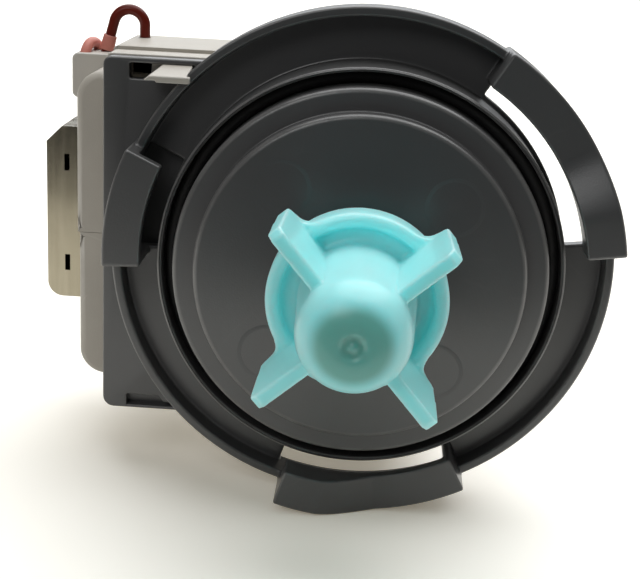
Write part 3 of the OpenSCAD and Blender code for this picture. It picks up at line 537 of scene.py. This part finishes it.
# %% [markdown]
# ## Flange with its three bayonet hooks
# The flange is a dish with a rim, a thin spigot collar, and three hooks that reach over windows in its
# floor. Modelling it face by face would be slow. Instead the space round the shaft is cut into cells by
# radius, angle and reach, each cell is either plastic or air, and only the faces between plastic and air
# are kept. The mesh is then all neat quads, so a Bevel modifier can give every edge the small radius of a
# moulding.
# %% Sizes of the flange
can_bore, seat_in, collar_in, collar_out, window_in = 13.4, 31.9, 34.0, 34.8, 35.6
hook_in, rim_in, rim_out, hook_out = 38.0, 42.4, 44.0, 44.6
floor_back, floor_front, rim_front, seat_front, hook_under, hook_low = -6.6, -4.2, 0.0, 1.5, 3.6, 5.8
radii = [can_bore, seat_in, collar_in, collar_out, window_in, hook_in, rim_in, rim_out, hook_out]
levels = [floor_back, floor_front, rim_front, seat_front, hook_under, hook_low]
collar_front = 6.5
raised, ramp_ease = 3.8, 0.4
hooks = [dict(at=8, span=51, high=True), dict(at=155, span=27.5, high=False),
         dict(at=253, span=45, high=True)]
flat_end, ramp_end, stop, window_early = 10, 24, 2, 1
angle_step, angle_gap = 1.5, 0.6
dish_rounding = 0.42

# %% Angles of the cells
marks = set(np.round(np.arange(0, 360, angle_step), 3))
for hook in hooks:
    begin, end = hook["at"], hook["at"] + hook["span"]
    extra = [begin - window_early, begin, begin + flat_end, begin + ramp_end, end - stop, end]
    marks = {m for m in marks if all(abs(m - e) > angle_gap for e in extra)} | set(map(float, extra))
angles = sorted(marks)
print("flange cells:", len(radii) - 1, "x", len(angles), "x", len(levels) - 1)


# %% Plastic and air
angle_slack = 1e-6


def inside(angle, start, end):
    return start - angle_slack < angle < end - angle_slack


def hook_front(angle):
    """Front of a hook lip: raised at its end, then a ramp down to the low part."""
    for hook in hooks:
        turn = angle - hook["at"]
        if hook["high"] and -angle_slack <= turn < ramp_end:
            t = min(1.0, (ramp_end - turn) / (ramp_end - flat_end))
            return hook_low + raised * (t + ramp_ease * (t * t * (3 - 2 * t) - t))
    return hook_low


floor_ring, seat_ring, collar_ring, gap_ring, window_ring, lip_ring, rim_ring, skin_ring = range(8)
to_floor, to_rim, to_seat, to_under, to_front = range(1, 6)
solid = np.zeros((len(radii) - 1, len(angles), len(levels) - 1), bool)
for a, angle in enumerate(angles):
    solid[floor_ring, a, :to_floor] = True
    solid[seat_ring, a, :to_seat] = True
    solid[collar_ring, a, :to_front] = True
    solid[gap_ring, a, :to_floor] = True
    window = any(inside(angle, h["at"] - window_early, h["at"] + h["span"] - stop) for h in hooks)
    solid[window_ring:rim_ring, a, :to_floor] = not window
    solid[rim_ring, a, :to_rim] = True
    for h in hooks:
        if inside(angle, h["at"], h["at"] + h["span"]):
            solid[lip_ring, a, to_under:to_front] = True
            solid[rim_ring:skin_ring + 1, a, :to_front] = True
        if inside(angle, h["at"] + h["span"] - stop, h["at"] + h["span"]):
            solid[lip_ring, a, :to_front] = True
print("plastic cells:", int(solid.sum()))


# %% Faces between plastic and air
def cell_point(i, a, k):
    reach = levels[k]
    if k == to_front:
        reach = collar_front if radii[i] < hook_in else hook_front(angles[a % len(angles)])
    return spot(radii[i], angles[a % len(angles)], reach)


corner = {}
points, faces = [], []


def corner_index(i, a, k):
    key = (i, a % len(angles), k)
    if key not in corner:
        corner[key] = len(points)
        points.append(cell_point(*key))
    return corner[key]


sides = [((-1, 0, 0), [(0, 0, 0), (0, 0, 1), (0, 1, 1), (0, 1, 0)]),
         ((1, 0, 0), [(1, 0, 0), (1, 1, 0), (1, 1, 1), (1, 0, 1)]),
         ((0, -1, 0), [(0, 0, 0), (1, 0, 0), (1, 0, 1), (0, 0, 1)]),
         ((0, 1, 0), [(0, 1, 0), (0, 1, 1), (1, 1, 1), (1, 1, 0)]),
         ((0, 0, -1), [(0, 0, 0), (0, 1, 0), (1, 1, 0), (1, 0, 0)]),
         ((0, 0, 1), [(0, 0, 1), (1, 0, 1), (1, 1, 1), (0, 1, 1)])]
for i, a, k in np.argwhere(solid):
    for (di, da, dk), quad in sides:
        ni, na, nk = i + di, (a + da) % len(angles), k + dk
        if 0 <= ni < solid.shape[0] and 0 <= nk < solid.shape[2] and solid[ni, na, nk]:
            continue
        faces.append([corner_index(i + x, a + y, k + z) for x, y, z in quad])
dish = round_edges(clean(new_object("dish", points, faces)), dish_rounding, angle=30)
print("dish:", len(dish.data.polygons), "faces")

# %% Notch in the rim for the latch
notch_low, notch_high = (-33.3, 29.7, -7.0), (-31.0, 31.9, 0.6)


def box_between(name, low, high, rounding=0.0):
    """Box between two corners (x, y, reach)."""
    (x0, y0, z0), (x1, y1, z1) = low, high
    corners = [from_local(x, y, z) for x in (x0, x1) for y in (y0, y1) for z in (z0, z1)]
    quads = [(0, 1, 3, 2), (4, 6, 7, 5), (0, 4, 5, 1), (2, 3, 7, 6), (0, 2, 6, 4), (1, 5, 7, 3)]
    obj = clean(new_object(name, corners, quads))
    return round_edges(obj, rounding, segments=2) if rounding else obj


notch = box_between("notch", notch_low, notch_high)
cut = dish.modifiers.new("cut", "BOOLEAN")
cut.object = notch
cut.solver = "EXACT"
settle(dish)
bpy.data.objects.remove(notch)
print("dish with its notch:", len(dish.data.polygons), "faces")

# %% [markdown]
# ## Motor plate and rotor can
# Behind the dish sits a flat plate that carries the motor, with a latch slot at its top and a stepped slot
# at its bottom, and a blind can that keeps the water off the stator. The plate is a filled 2D curve:
# Blender extrudes it and rounds its edges by itself, holes included, which is much less work than a mesh.
# %% Plates from outlines
def plate(name, outline, holes, front, rear, rounding):
    """Outline in the plane of the plate, pushed back from one reach to another, with rounded edges."""
    curve = bpy.data.curves.new(name, "CURVE")
    curve.dimensions = "2D"
    curve.fill_mode = "BOTH"
    curve.extrude = ((front - rear) / 2 - rounding) * MM
    curve.bevel_depth = rounding * MM
    curve.bevel_resolution = 2
    curve.offset = -rounding * MM
    for path in [outline] + holes:
        spline = curve.splines.new("POLY")
        spline.points.add(len(path) - 1)
        for point, (x, y) in zip(spline.points, path):
            point.co = (x * MM, y * MM, 0, 1)
        spline.use_cyclic_u = True
    shape = add_object(name, curve)
    mesh = shown_mesh(shape)
    bpy.data.objects.remove(shape)
    middle = Matrix.Translation((0, 0, (front + rear) / 2 * MM))
    mesh.transform(Matrix.Rotation(math.pi / 2, 4, "X") @ middle)
    return smooth(mark_edges(clean(add_object(name, mesh), merge=1e-6), low=20))


# %% Motor plate
plate_left, plate_right, plate_half = -46.9, 18.4, 32.7
plate_front, plate_back, plate_rounding = floor_back, -9.2, 0.3
slot_left, slot_right, slot_low, slot_high, slot_corner = -42.3, -30.8, 29.0, 31.75, 0.4
step_left, step_start, step_end, step_right = -42.4, -36.4, -35.4, -32.3
step_low, step_middle, step_high = -32.1, -31.3, -30.0
slot_floor_low, slot_floor_high = (-42.9, -32.4, plate_back), (-31.8, -29.6, -8.6)
outline = softened([(plate_right, -plate_half, 8), (plate_right, plate_half, 8),
                    (plate_left, plate_half, 1.5), (plate_left, -plate_half, 2)])
latch_slot = softened([(slot_left, slot_low, slot_corner), (slot_left, slot_high, slot_corner),
                       (slot_right, slot_high, slot_corner), (slot_right, slot_low, slot_corner)])
low_slot = softened([(step_left, step_low, 0.2), (step_left, step_high, 0.3), (step_start, step_high, 0.3),
                     (step_end, step_middle, 0.2), (step_right, step_middle, 0.2),
                     (step_right, step_low, 0.2)])
motor_plate = plate("motor_plate", outline, [latch_slot, low_slot], plate_front, plate_back, plate_rounding)
slot_floor = box_between("slot_floor", slot_floor_low, slot_floor_high)
plate_box = np.array(motor_plate.bound_box) * 1000
print("motor plate from", plate_box.min(0).round(2), "to", plate_box.max(0).round(2))

# %% Rotor can and locating pins
can_mouth, can_out, can_end, can_base = -6.1, 14.5, -55.8, -53.8
socket_in, socket_out, socket_front = 7.6, 9.4, -48.5
pin_r, pin_front, pin_end = 1.6, -6.8, -11.2
pin_left, pin_right, pin_half = -41.9, 12.4, 26.0
can_section = softened([
    (can_bore, can_mouth, 0), (can_out, can_mouth, 0), (can_out, can_end, 2), (0, can_end, 0),
    (0, can_base, 0), (socket_in, can_base, 0), (socket_in, socket_front, 0.3),
    (socket_out, socket_front, 0.3), (socket_out, can_base, 0.3), (can_bore, can_base, 0.6)])
can = smooth(mark_edges(turned("can", can_section)))
pin_section = softened([(0, pin_front, 0), (pin_r, pin_front, 0), (pin_r, pin_end, 0.4), (0, pin_end, 0)])
pins = []
for x in (pin_left, pin_right):
    for y in (pin_half, -pin_half):
        pin = turned("pin", pin_section, steps=24)
        pin.data.transform(Matrix.Translation(from_local(x, y, 0)))
        pins.append(smooth(pin))
print("pins:", len(pins))

# %% [markdown]
# ## Stiffening ribs
# Two fans of three ribs stiffen the free part of the flange. A fan repeats one rib at a fixed step of
# angle, which is what Geometry Nodes are for: points on an index, a turned instance on each, then real
# geometry and its material.
# %% Geometry Nodes helper
def node_tool(name, inputs):
    tree = bpy.data.node_groups.new(name, "GeometryNodeTree")
    tree.interface.new_socket("Geometry", in_out="INPUT", socket_type="NodeSocketGeometry")
    for socket, kind, value in inputs:
        item = tree.interface.new_socket(socket, in_out="INPUT", socket_type="NodeSocket" + kind)
        if value is not None:
            item.default_value = value
    tree.interface.new_socket("Geometry", in_out="OUTPUT", socket_type="NodeSocketGeometry")
    return tree, tree.nodes.new("NodeGroupInput"), tree.nodes.new("NodeGroupOutput")


def end_tool(tree, geometry, g_in, g_out):
    real = add_node(tree, "GeometryNodeRealizeInstances", {"Geometry": geometry})
    coated = add_node(tree, "GeometryNodeSetMaterial", {"Geometry": real.outputs[0],
                                                        "Material": g_in.outputs["Material"]})
    feed(tree, g_out, {"Geometry": coated.outputs[0]})


def run_tool(name, tree, **values):
    """Runs a tree on an empty mesh, and keeps its result as a plain mesh."""
    obj = new_object(name, [], [])
    tool = obj.modifiers.new(name, "NODES")
    tool.node_group = tree
    for item in tree.interface.items_tree:
        key = item.name.replace(" ", "_").lower()
        if item.in_out == "INPUT" and key in values:
            tool[item.identifier] = values[key]
    return settle(obj)


# %% Fan of copies round the shaft
fan, g_in, g_out = node_tool("fan_of_copies", [
    ("Piece", "Object", None), ("Count", "Int", 3), ("Start", "Float", 0.0), ("Step", "Float", 0.3),
    ("Material", "Material", None)])
row = add_node(fan, "GeometryNodePoints", {"Count": g_in.outputs["Count"]})
index = add_node(fan, "GeometryNodeInputIndex").outputs[0]
turn = maths(fan, "ADD", maths(fan, "MULTIPLY", index, g_in.outputs["Step"]), g_in.outputs["Start"])
spin = add_node(fan, "FunctionNodeAxisAngleToRotation", {"Axis": (0, -1, 0), "Angle": turn})
piece = add_node(fan, "GeometryNodeObjectInfo", {"Object": g_in.outputs["Piece"]})
copies = add_node(fan, "GeometryNodeInstanceOnPoints", {
    "Points": row.outputs[0], "Instance": piece.outputs["Geometry"], "Rotation": spin.outputs[0]})
end_tool(fan, copies.outputs[0], g_in, g_out)

# %% Ribs, and the whole flange
rib_low, rib_high, rib_rounding = (15.5, -0.8, -8.8), (42.4, 0.8, -6.1), 0.3
rib_starts, rib_step = (-48, 72), math.radians(18)
rib = box_between("rib", rib_low, rib_high, rib_rounding)
ribs = [run_tool("ribs", fan, piece=rib, count=3, start=math.radians(start), step=rib_step,
                 material=finishes["dark_plastic"]) for start in rib_starts]
bpy.data.objects.remove(rib)
flange = join("flange_moulding", dish, motor_plate, slot_floor, can, *pins, *ribs)
dress(flange, "dark_plastic", "housing", "pump_flange")

# %% [markdown]
# ## Front cover
# The cover is a stepped disc, turned in one go from its section. Its edges have a generous radius, so a
# pale line of light runs round each step. Four faint rings on its face are left by the pins that push it
# out of the mould.
# %% Front cover
skirt_out, skirt_in, step_out, step_in, neck_out = 31.8, 29.8, 27.9, 25.9, 11.0
seal_r, boss_r, shaft_hole = 8.1, 10.4, 4.5
cover_back, step_front, step_back, face_front, face_back = -4.1, 9.4, 7.4, 12.0, 10.0
neck_front, seal_floor, boss_back = 17.4, 12.2, 9.0
cover_section = softened([
    (skirt_out, cover_back, 0.2), (skirt_out, step_front, 0.9), (step_out, step_front, 0.35),
    (step_out, face_front, 0.9), (neck_out, face_front, 0.5), (neck_out, neck_front, 0.6),
    (seal_r, neck_front, 0.2), (seal_r, seal_floor, 0.1), (shaft_hole, seal_floor, 0.1),
    (shaft_hole, boss_back, 0.1), (boss_r, boss_back, 0.2), (boss_r, face_back, 0.2),
    (step_in, face_back, 0.3), (step_in, step_back, 0.3), (skirt_in, step_back, 0.3),
    (skirt_in, cover_back, 0.2)], steps=4)
cover = mark_edges(turned("cover_disc", cover_section, steps=240))

# %% Ring marks on the cover
ring_in, crest_in, crest_out, ring_out = 4.1, 4.45, 4.75, 5.1
ring_foot, ring_crest = 11.995, 12.008
ring_place, ring_angles = 20.15, (42, 132, 222, 312)
ring_section = [(ring_in, ring_foot), (crest_in, ring_crest), (crest_out, ring_crest), (ring_out, ring_foot)]
rings = []
for angle in ring_angles:
    ring = turned("ring", ring_section, steps=72)
    ring.data.transform(Matrix.Translation(spot(ring_place, angle, 0)))
    rings.append(ring)
cover = smooth(join("stepped_cover", cover, *rings))
dress(cover, "dark_plastic", "housing", "front_cover")

# %% [markdown]
# ## Impeller
# The impeller is one soft-cornered moulding: a dished back disc, a domed hub with a gate mark on its nose,
# and four straight blades. Where a blade leaves the disc, a small web with a hollow edge fills the corner
# on each side. Blade and webs repeat, so the fan tree places them. A voxel remesh then melts all of it
# together, and a little smoothing leaves the fillets that a mould would give.
# %% Hub
disc_r, lip_in, foot_r, cap_r, room_r, shaft_r = 14.6, 12.2, 9.5, 7.7, 7.0, 3.05
disc_back, disc_front, dish_floor, cap_front = 19.8, 24.8, 22.55, 21.8
room_front, shaft_front = 38.0, 42.5
nose_flat, nose_round, nose_reach = 2.2, 6.6, 46.0
gate_out, gate_low, gate_ring, gate_tip = 2.0, 1.6, 0.8, 0.5
gate_floor, gate_front = 45.5, 45.9
disc_path = [(cap_r, disc_back, 0), (disc_r, disc_back, 0.6), (disc_r, disc_front, 1.19),
             (lip_in, disc_front, 1.19), (lip_in, dish_floor, 0.8), (foot_r, dish_floor, 1.0)]
dome = [(nose_flat + nose_round * math.cos(t), nose_reach - nose_round + nose_round * math.sin(t), 0)
        for t in np.linspace(0, math.pi / 2, 16)]
gate_path = [(gate_out, nose_reach, 0), (gate_low, gate_floor, 0.2), (gate_ring, gate_floor, 0.1),
             (gate_tip, gate_front, 0.1), (0, gate_front, 0)]
inner_path = [(0, shaft_front, 0), (shaft_r, shaft_front, 0), (shaft_r, room_front, 0),
              (room_r, room_front, 0), (room_r, cap_front, 0), (cap_r, cap_front, 0)]
hub = turned("hub", softened(disc_path + dome + gate_path + inner_path, steps=7), steps=144)
print("hub:", len(hub.data.polygons), "faces")

# %% Blade with its webs
half_blade, web_round, web_back, web_front = 1.15, 2.6, 22.5, 24.5
web_in, web_in_half = 13.0, 2.8
blade_count, blade_start, blade_step = 4, math.radians(41), math.radians(90)
blade_side = [(8.0, 22.1), (13.4, 22.1), (16.6, 22.6), (18.2, 23.6), (18.7, 24.5), (19.1, 37.7),
              (18.0, 38.8), (8.0, 38.8)]
blade = prism("blade", *([from_local(r, y, reach) for r, reach in blade_side]
                         for y in (-half_blade, half_blade)))
web_y = half_blade + web_round
web_x = math.sqrt((disc_r + web_round) ** 2 - web_y ** 2)
bow_start = math.atan2(-web_y, -web_x)
bow = [(web_x + web_round * math.cos(t), web_y + web_round * math.sin(t))
       for t in np.linspace(bow_start, -math.pi / 2, 9)]
web_outline = [(web_in, 0.0), (web_in, web_in_half)] + bow + [(web_x, 0.0)]
webs = [prism("web", *([from_local(x, side * y, reach) for x, y in web_outline]
                       for reach in (web_back, web_front))) for side in (-1, 1)]
blade = join("blade_with_webs", blade, *webs)
blades = run_tool("blades", fan, piece=blade, count=blade_count, start=blade_start, step=blade_step,
                  material=finishes["aqua_plastic"])
bpy.data.objects.remove(blade)
print("blades:", len(blades.data.polygons), "faces")

# %% Lug inside the hub
lug_start, lug_turn, lug_steps = 150, 60, 12
lug_in, lug_out, lug_back, lug_front = 5.0, 7.4, 26.2, 38.3
lug_section = [(lug_in, lug_back), (lug_out, lug_back), (lug_out, lug_front), (lug_in, lug_front)]
lug_angles = [lug_start + lug_turn * k / lug_steps for k in range(lug_steps + 1)]
lug_points = [spot(r, angle, reach) for angle in lug_angles for r, reach in lug_section]
last = 4 * lug_steps
lug_ends = [(0, 1, 2, 3), (last + 3, last + 2, last + 1, last)]
lug_walls = [(4 * k + i, 4 * k + 4 + i, 4 * k + 4 + (i + 1) % 4, 4 * k + (i + 1) % 4)
             for k in range(lug_steps) for i in range(4)]
lug = clean(new_object("lug", lug_points, lug_ends + lug_walls))
impeller = join("soft_impeller", hub, blades, lug)
print("impeller before melting:", len(impeller.data.polygons), "faces")

# %% Melt and smooth
melt = impeller.modifiers.new("melt", "REMESH")
melt.mode = "VOXEL"
melt.voxel_size = 0.27 * MM
ease = impeller.modifiers.new("ease", "SMOOTH")
ease.factor = 0.5
ease.iterations = 4
smooth(mark_edges(settle(impeller), low=9), angle=60)
dress(impeller, "aqua_plastic", "impeller", "impeller")

# %% [markdown]
# ## Casing, coil covers and terminal box
# These mouldings are right in the CAD frame but have knife edges. A copy of a node is merged into one skin,
# its flat triangles are dissolved into whole faces, and a bevel gives the edges their radius. A face with
# holes in it can't be one whole face, so the vented rear shell only has its triangles joined to quads. The
# coil covers also get a wide rounding on the rims of their front and back faces, but not at the seam
# between them, which stays square.
# %% Copies of CAD nodes
flat_angle, sharp_angle = math.radians(0.3), math.radians(32)
merge_reach, plane_reach = 2e-6, 1e-5
seam_height, frame_side = -0.95, -24
cover_planes, cover_rounding = (13.2, 54.0), 1.4
vented = {"stator_back"}


def merged_copy(node):
    bm = open_mesh(frame["nodes"][node].data)
    bmesh.ops.remove_doubles(bm, verts=bm.verts, dist=merge_reach)
    return bm


def whole_faces(bm):
    bmesh.ops.dissolve_limit(bm, angle_limit=flat_angle, verts=bm.verts, edges=bm.edges)


def is_rim(edge):
    """Tells the sharp edges of a coil cover's front and back, without the seam and the frame's side."""
    on_plane = any(all(abs(v.co.y - y * MM) < plane_reach for v in edge.verts) for y in cover_planes)
    spared = all(abs(v.co.z / MM - seam_height) < same_height or v.co.x > frame_side * MM
                 for v in edge.verts)
    return len(edge.link_faces) == 2 and edge.calc_face_angle(0) > sharp_angle and on_plane and not spared


def rounded_copy(node, name, width, wide=0.0):
    bm = merged_copy(node)
    if node in vented:
        bmesh.ops.join_triangles(bm, faces=bm.faces, angle_face_threshold=flat_angle,
                                 angle_shape_threshold=math.pi)
    else:
        whole_faces(bm)
    if wide:
        rims = [e for e in bm.edges if is_rim(e)]
        bmesh.ops.bevel(bm, geom=rims, offset=wide * MM, segments=5, profile=0.5, affect="EDGES",
                        clamp_overlap=False)
    return round_edges(object_from(name, bm), width, source=frame["nodes"][node].data,
                       reach=max(width, wide) * 0.5 * MM, square=seam_height if wide else None)


def volume(mesh):
    bm = open_mesh(mesh)
    amount = bm.calc_volume(signed=True)
    bm.free()
    return amount


# %% Rounded pieces
rounded_pieces = [
    ("stator_frame", "front_frame", 0.25, "cream_plastic"),
    ("stator_back", "rear_shell", 0.12, "cream_plastic"),
    ("upper_coil_cover", "upper_cover", 0.22, "cream_plastic"),
    ("lower_coil_cover", "lower_cover", 0.22, "cream_plastic"),
    ("terminal_box", "terminal_block", 0.3, "grey_plastic"),
    ("thermal_cutoff", "cutoff_body", 0.4, "natural_plastic"),
    ("upper_bobbin", "upper_former", 0.15, "natural_plastic"),
    ("lower_bobbin", "lower_former", 0.15, "natural_plastic"),
    ("spade_terminals", "spade_tabs", 0.12, "tinned_brass")]
for node, name, width, finish in rounded_pieces:
    wide = cover_rounding if node.endswith("coil_cover") else 0.0
    piece = dress(rounded_copy(node, name, width, wide), finish, "housing", node)
    low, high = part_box(node)
    outside = max(max(low[i] - v.co[i], v.co[i] - high[i]) for v in piece.data.vertices for i in range(3))
    share = volume(piece.data) / volume(frame["nodes"][node].data)
    print("  at most", round(max(outside, 0) * 1000, 3), "mm outside its CAD box, keeps",
          round(100 * share, 2), "% of its volume")

# %% [markdown]
# ## Lamination stack
# The core is forty steel sheets, stamped and pressed together, and its edges show every sheet. A flattened
# copy of the CAD core is one sheet. Geometry Nodes stack it, each sheet shifted by a few hundredths of a
# millimetre with a fixed seed. The front sheet keeps the two interlock dents of the stamping.
# %% One sheet
core_front, sheet_thick, sheets = 23.6, 0.5, 40
core_depth = sheets * sheet_thick
sheet_shift, sheet_seed = 0.03, 4


def sheet_copy(name, keep_dents):
    bm = merged_copy("stator_core")
    whole_faces(bm)
    for v in bm.verts:
        depth = v.co.y / MM - core_front
        if keep_dents:
            depth = min(depth, sheet_thick)
        else:
            depth = depth * sheet_thick / core_depth
        v.co.y = (core_front + depth) * MM
    return object_from(name, bm)


front_sheet = sheet_copy("front_sheet", keep_dents=True)
plain_sheet = sheet_copy("plain_sheet", keep_dents=False)
print("sheet:", len(plain_sheet.data.polygons), "faces")

# %% Stack of sheets
stack, g_in, g_out = node_tool("sheet_stack", [
    ("Sheet", "Object", None), ("Count", "Int", sheets - 1), ("Pitch", "Float", sheet_thick * MM),
    ("Shift", "Float", sheet_shift * MM), ("Seed", "Int", sheet_seed), ("Material", "Material", None)])
row = add_node(stack, "GeometryNodePoints", {"Count": g_in.outputs["Count"]})
order = maths(stack, "ADD", add_node(stack, "GeometryNodeInputIndex").outputs[0], 1.0)
depth = maths(stack, "MULTIPLY", order, g_in.outputs["Pitch"])
stray = add_node(stack, "FunctionNodeRandomValue",
                 {0: (-1, 0, -1), 1: (1, 0, 1), "Seed": g_in.outputs["Seed"]}, data_type="FLOAT_VECTOR")
shift = add_node(stack, "ShaderNodeVectorMath", {0: stray.outputs[0], "Scale": g_in.outputs["Shift"]},
                 operation="SCALE")
along = add_node(stack, "ShaderNodeCombineXYZ", {"Y": depth})
spread = add_node(stack, "ShaderNodeVectorMath", {0: shift.outputs[0], 1: along.outputs[0]}, operation="ADD")
placed = add_node(stack, "GeometryNodeSetPosition", {"Geometry": row.outputs[0],
                                                     "Position": spread.outputs[0]})
sheet = add_node(stack, "GeometryNodeObjectInfo", {"Object": g_in.outputs["Sheet"]})
copies = add_node(stack, "GeometryNodeInstanceOnPoints", {"Points": placed.outputs[0],
                                                         "Instance": sheet.outputs["Geometry"]})
end_tool(stack, copies.outputs[0], g_in, g_out)

# %% Core of front sheet and stack
rest = run_tool("rest_of_stack", stack, sheet=plain_sheet, count=sheets - 1, pitch=sheet_thick * MM,
                shift=sheet_shift * MM, seed=sheet_seed, material=finishes["core_steel"])
core = join("sheet_core", front_sheet, rest)
bpy.data.objects.remove(plain_sheet)
core.data.shade_flat()
dress(core, "core_steel", "housing", "stator_core")

# %% [markdown]
# ## Pieces that stay as the frame has them
# Shafts, bushes, seals, magnet, windings and leads are already the right shape, so they keep their CAD mesh
# and only take a finish from the record's material slots.
# %% Finishes of the remaining nodes
slot_of = {s["node"]: s["material_slot"] for s in frame["record"]["subparts"]}
kept = [n for n, o in frame["nodes"].items() if not o.get("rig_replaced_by") and not o.hide_render]
for name in kept:
    obj = frame["nodes"][name]
    obj.data.materials.clear()
    obj.data.materials.append(finishes[slot_of[name]])
print("kept CAD nodes:", kept)

# %% [markdown]
# ## Sleeve on the lead
# The foot of the dark red lead stands in a short soft sleeve. It is turned as a ring like the other round
# pieces, and then laid along the leaning lead: a matrix turns its axis, and another one moves it to the
# foot.
# %% Lead sleeve
lean = math.radians(15)
sleeve_in, sleeve_foot, sleeve_top, sleeve_long = 1.02, 1.38, 1.26, 2.9
sleeve_place = from_local(-51.4, 30.9, -31.0)
sleeve_section = softened([(sleeve_in, 0, 0.05), (sleeve_foot, 0, 0.15), (sleeve_top, sleeve_long, 0.2),
                           (sleeve_in, sleeve_long, 0.05)])
sleeve = turned("lead_sleeve", sleeve_section, steps=40)
lead_axis = Vector((math.sin(lean), 0, math.cos(lean)))
tilt = Vector((0, -1, 0)).rotation_difference(lead_axis).to_matrix().to_4x4()
sleeve.data.transform(Matrix.Translation(sleeve_place) @ tilt)
dress(smooth(mark_edges(sleeve)), "salmon_lead", "housing")

# %% [markdown]
# ## Floor and light
# The pump lies on a white sheet. Broad light comes from above, a bright wall stands behind, as in the
# photograph, and a small window in front adds a little. So faces that look up are bright, and faces that
# look at the camera mostly get what the sheet throws back. Towards the camera the sheet ends, so the upper
# part of the dark front mirrors an unlit room. For the camera and for mirrors the sheet is a little
# brighter than for the light that it throws back: Light Path tells these rays apart.
# %% Sheet
sheet_z = -44.65 * MM
sheet_edge = [(-3, -0.19), (-0.11, -0.18), (-0.05, -0.12), (3, -0.105), (3, 4), (-3, 4)]
thrown_tone, seen_tone = (0.76, 0.74, 0.7, 1), (0.98, 0.965, 0.92, 1)
glow_tone, glow = (1.0, 0.9, 0.7, 1), 0.19
floor = new_object("table", [(x, y, sheet_z) for x, y in sheet_edge], [range(len(sheet_edge))])
material, tree, shader = open_material("white_sheet")
path = add_node(tree, "ShaderNodeLightPath").outputs
mirrored = maths(tree, "MAXIMUM", path["Is Glossy Ray"], path["Is Transmission Ray"])
seen = maths(tree, "MAXIMUM", path["Is Camera Ray"], mirrored)
tone = mix_colour(tree, seen, thrown_tone, seen_tone)
feed(tree, shader, {"Base Color": tone, "Roughness": 0.9, "Specular IOR Level": 0.0,
                    "Emission Color": glow_tone, "Emission Strength": maths(tree, "MULTIPLY", seen, glow)})
floor.data.materials.append(material)
print("the sheet lies", round(-sheet_z * 1000, 2), "mm below the shaft")


# %% Lights
def add_light(name, kind, place, **settings):
    """Light that looks at the origin, the middle of the flange rim."""
    data = bpy.data.lights.new(name, kind)
    for key, value in settings.items():
        setattr(data, key, value)
    light = add_object(name, data)
    light.location = place
    light.rotation_euler = (-Vector(place)).to_track_quat("-Z", "Y").to_euler()
    return light


add_light("overhead", "SUN", (0.15, 0.25, 1.0), energy=3.0, angle=math.radians(70), color=(0.98, 0.99, 1.0))
add_light("bright_wall", "AREA", (0.15, 1.1, 0.6), energy=7.5, shape="RECTANGLE", size=1.6, size_y=0.7,
          color=(0.96, 0.98, 1.0))
add_light("small_window", "AREA", (-0.35, -0.7, 0.6), energy=1.9, shape="RECTANGLE", size=0.5, size_y=0.4)
world = bpy.data.worlds.new("studio")
scene.world = world
world.use_nodes = True
tree = world.node_tree
feed(tree, tree.nodes["Background"], {"Color": (0.95, 0.97, 1.0, 1), "Strength": 0.08})
scene.view_settings.view_transform = "Standard"
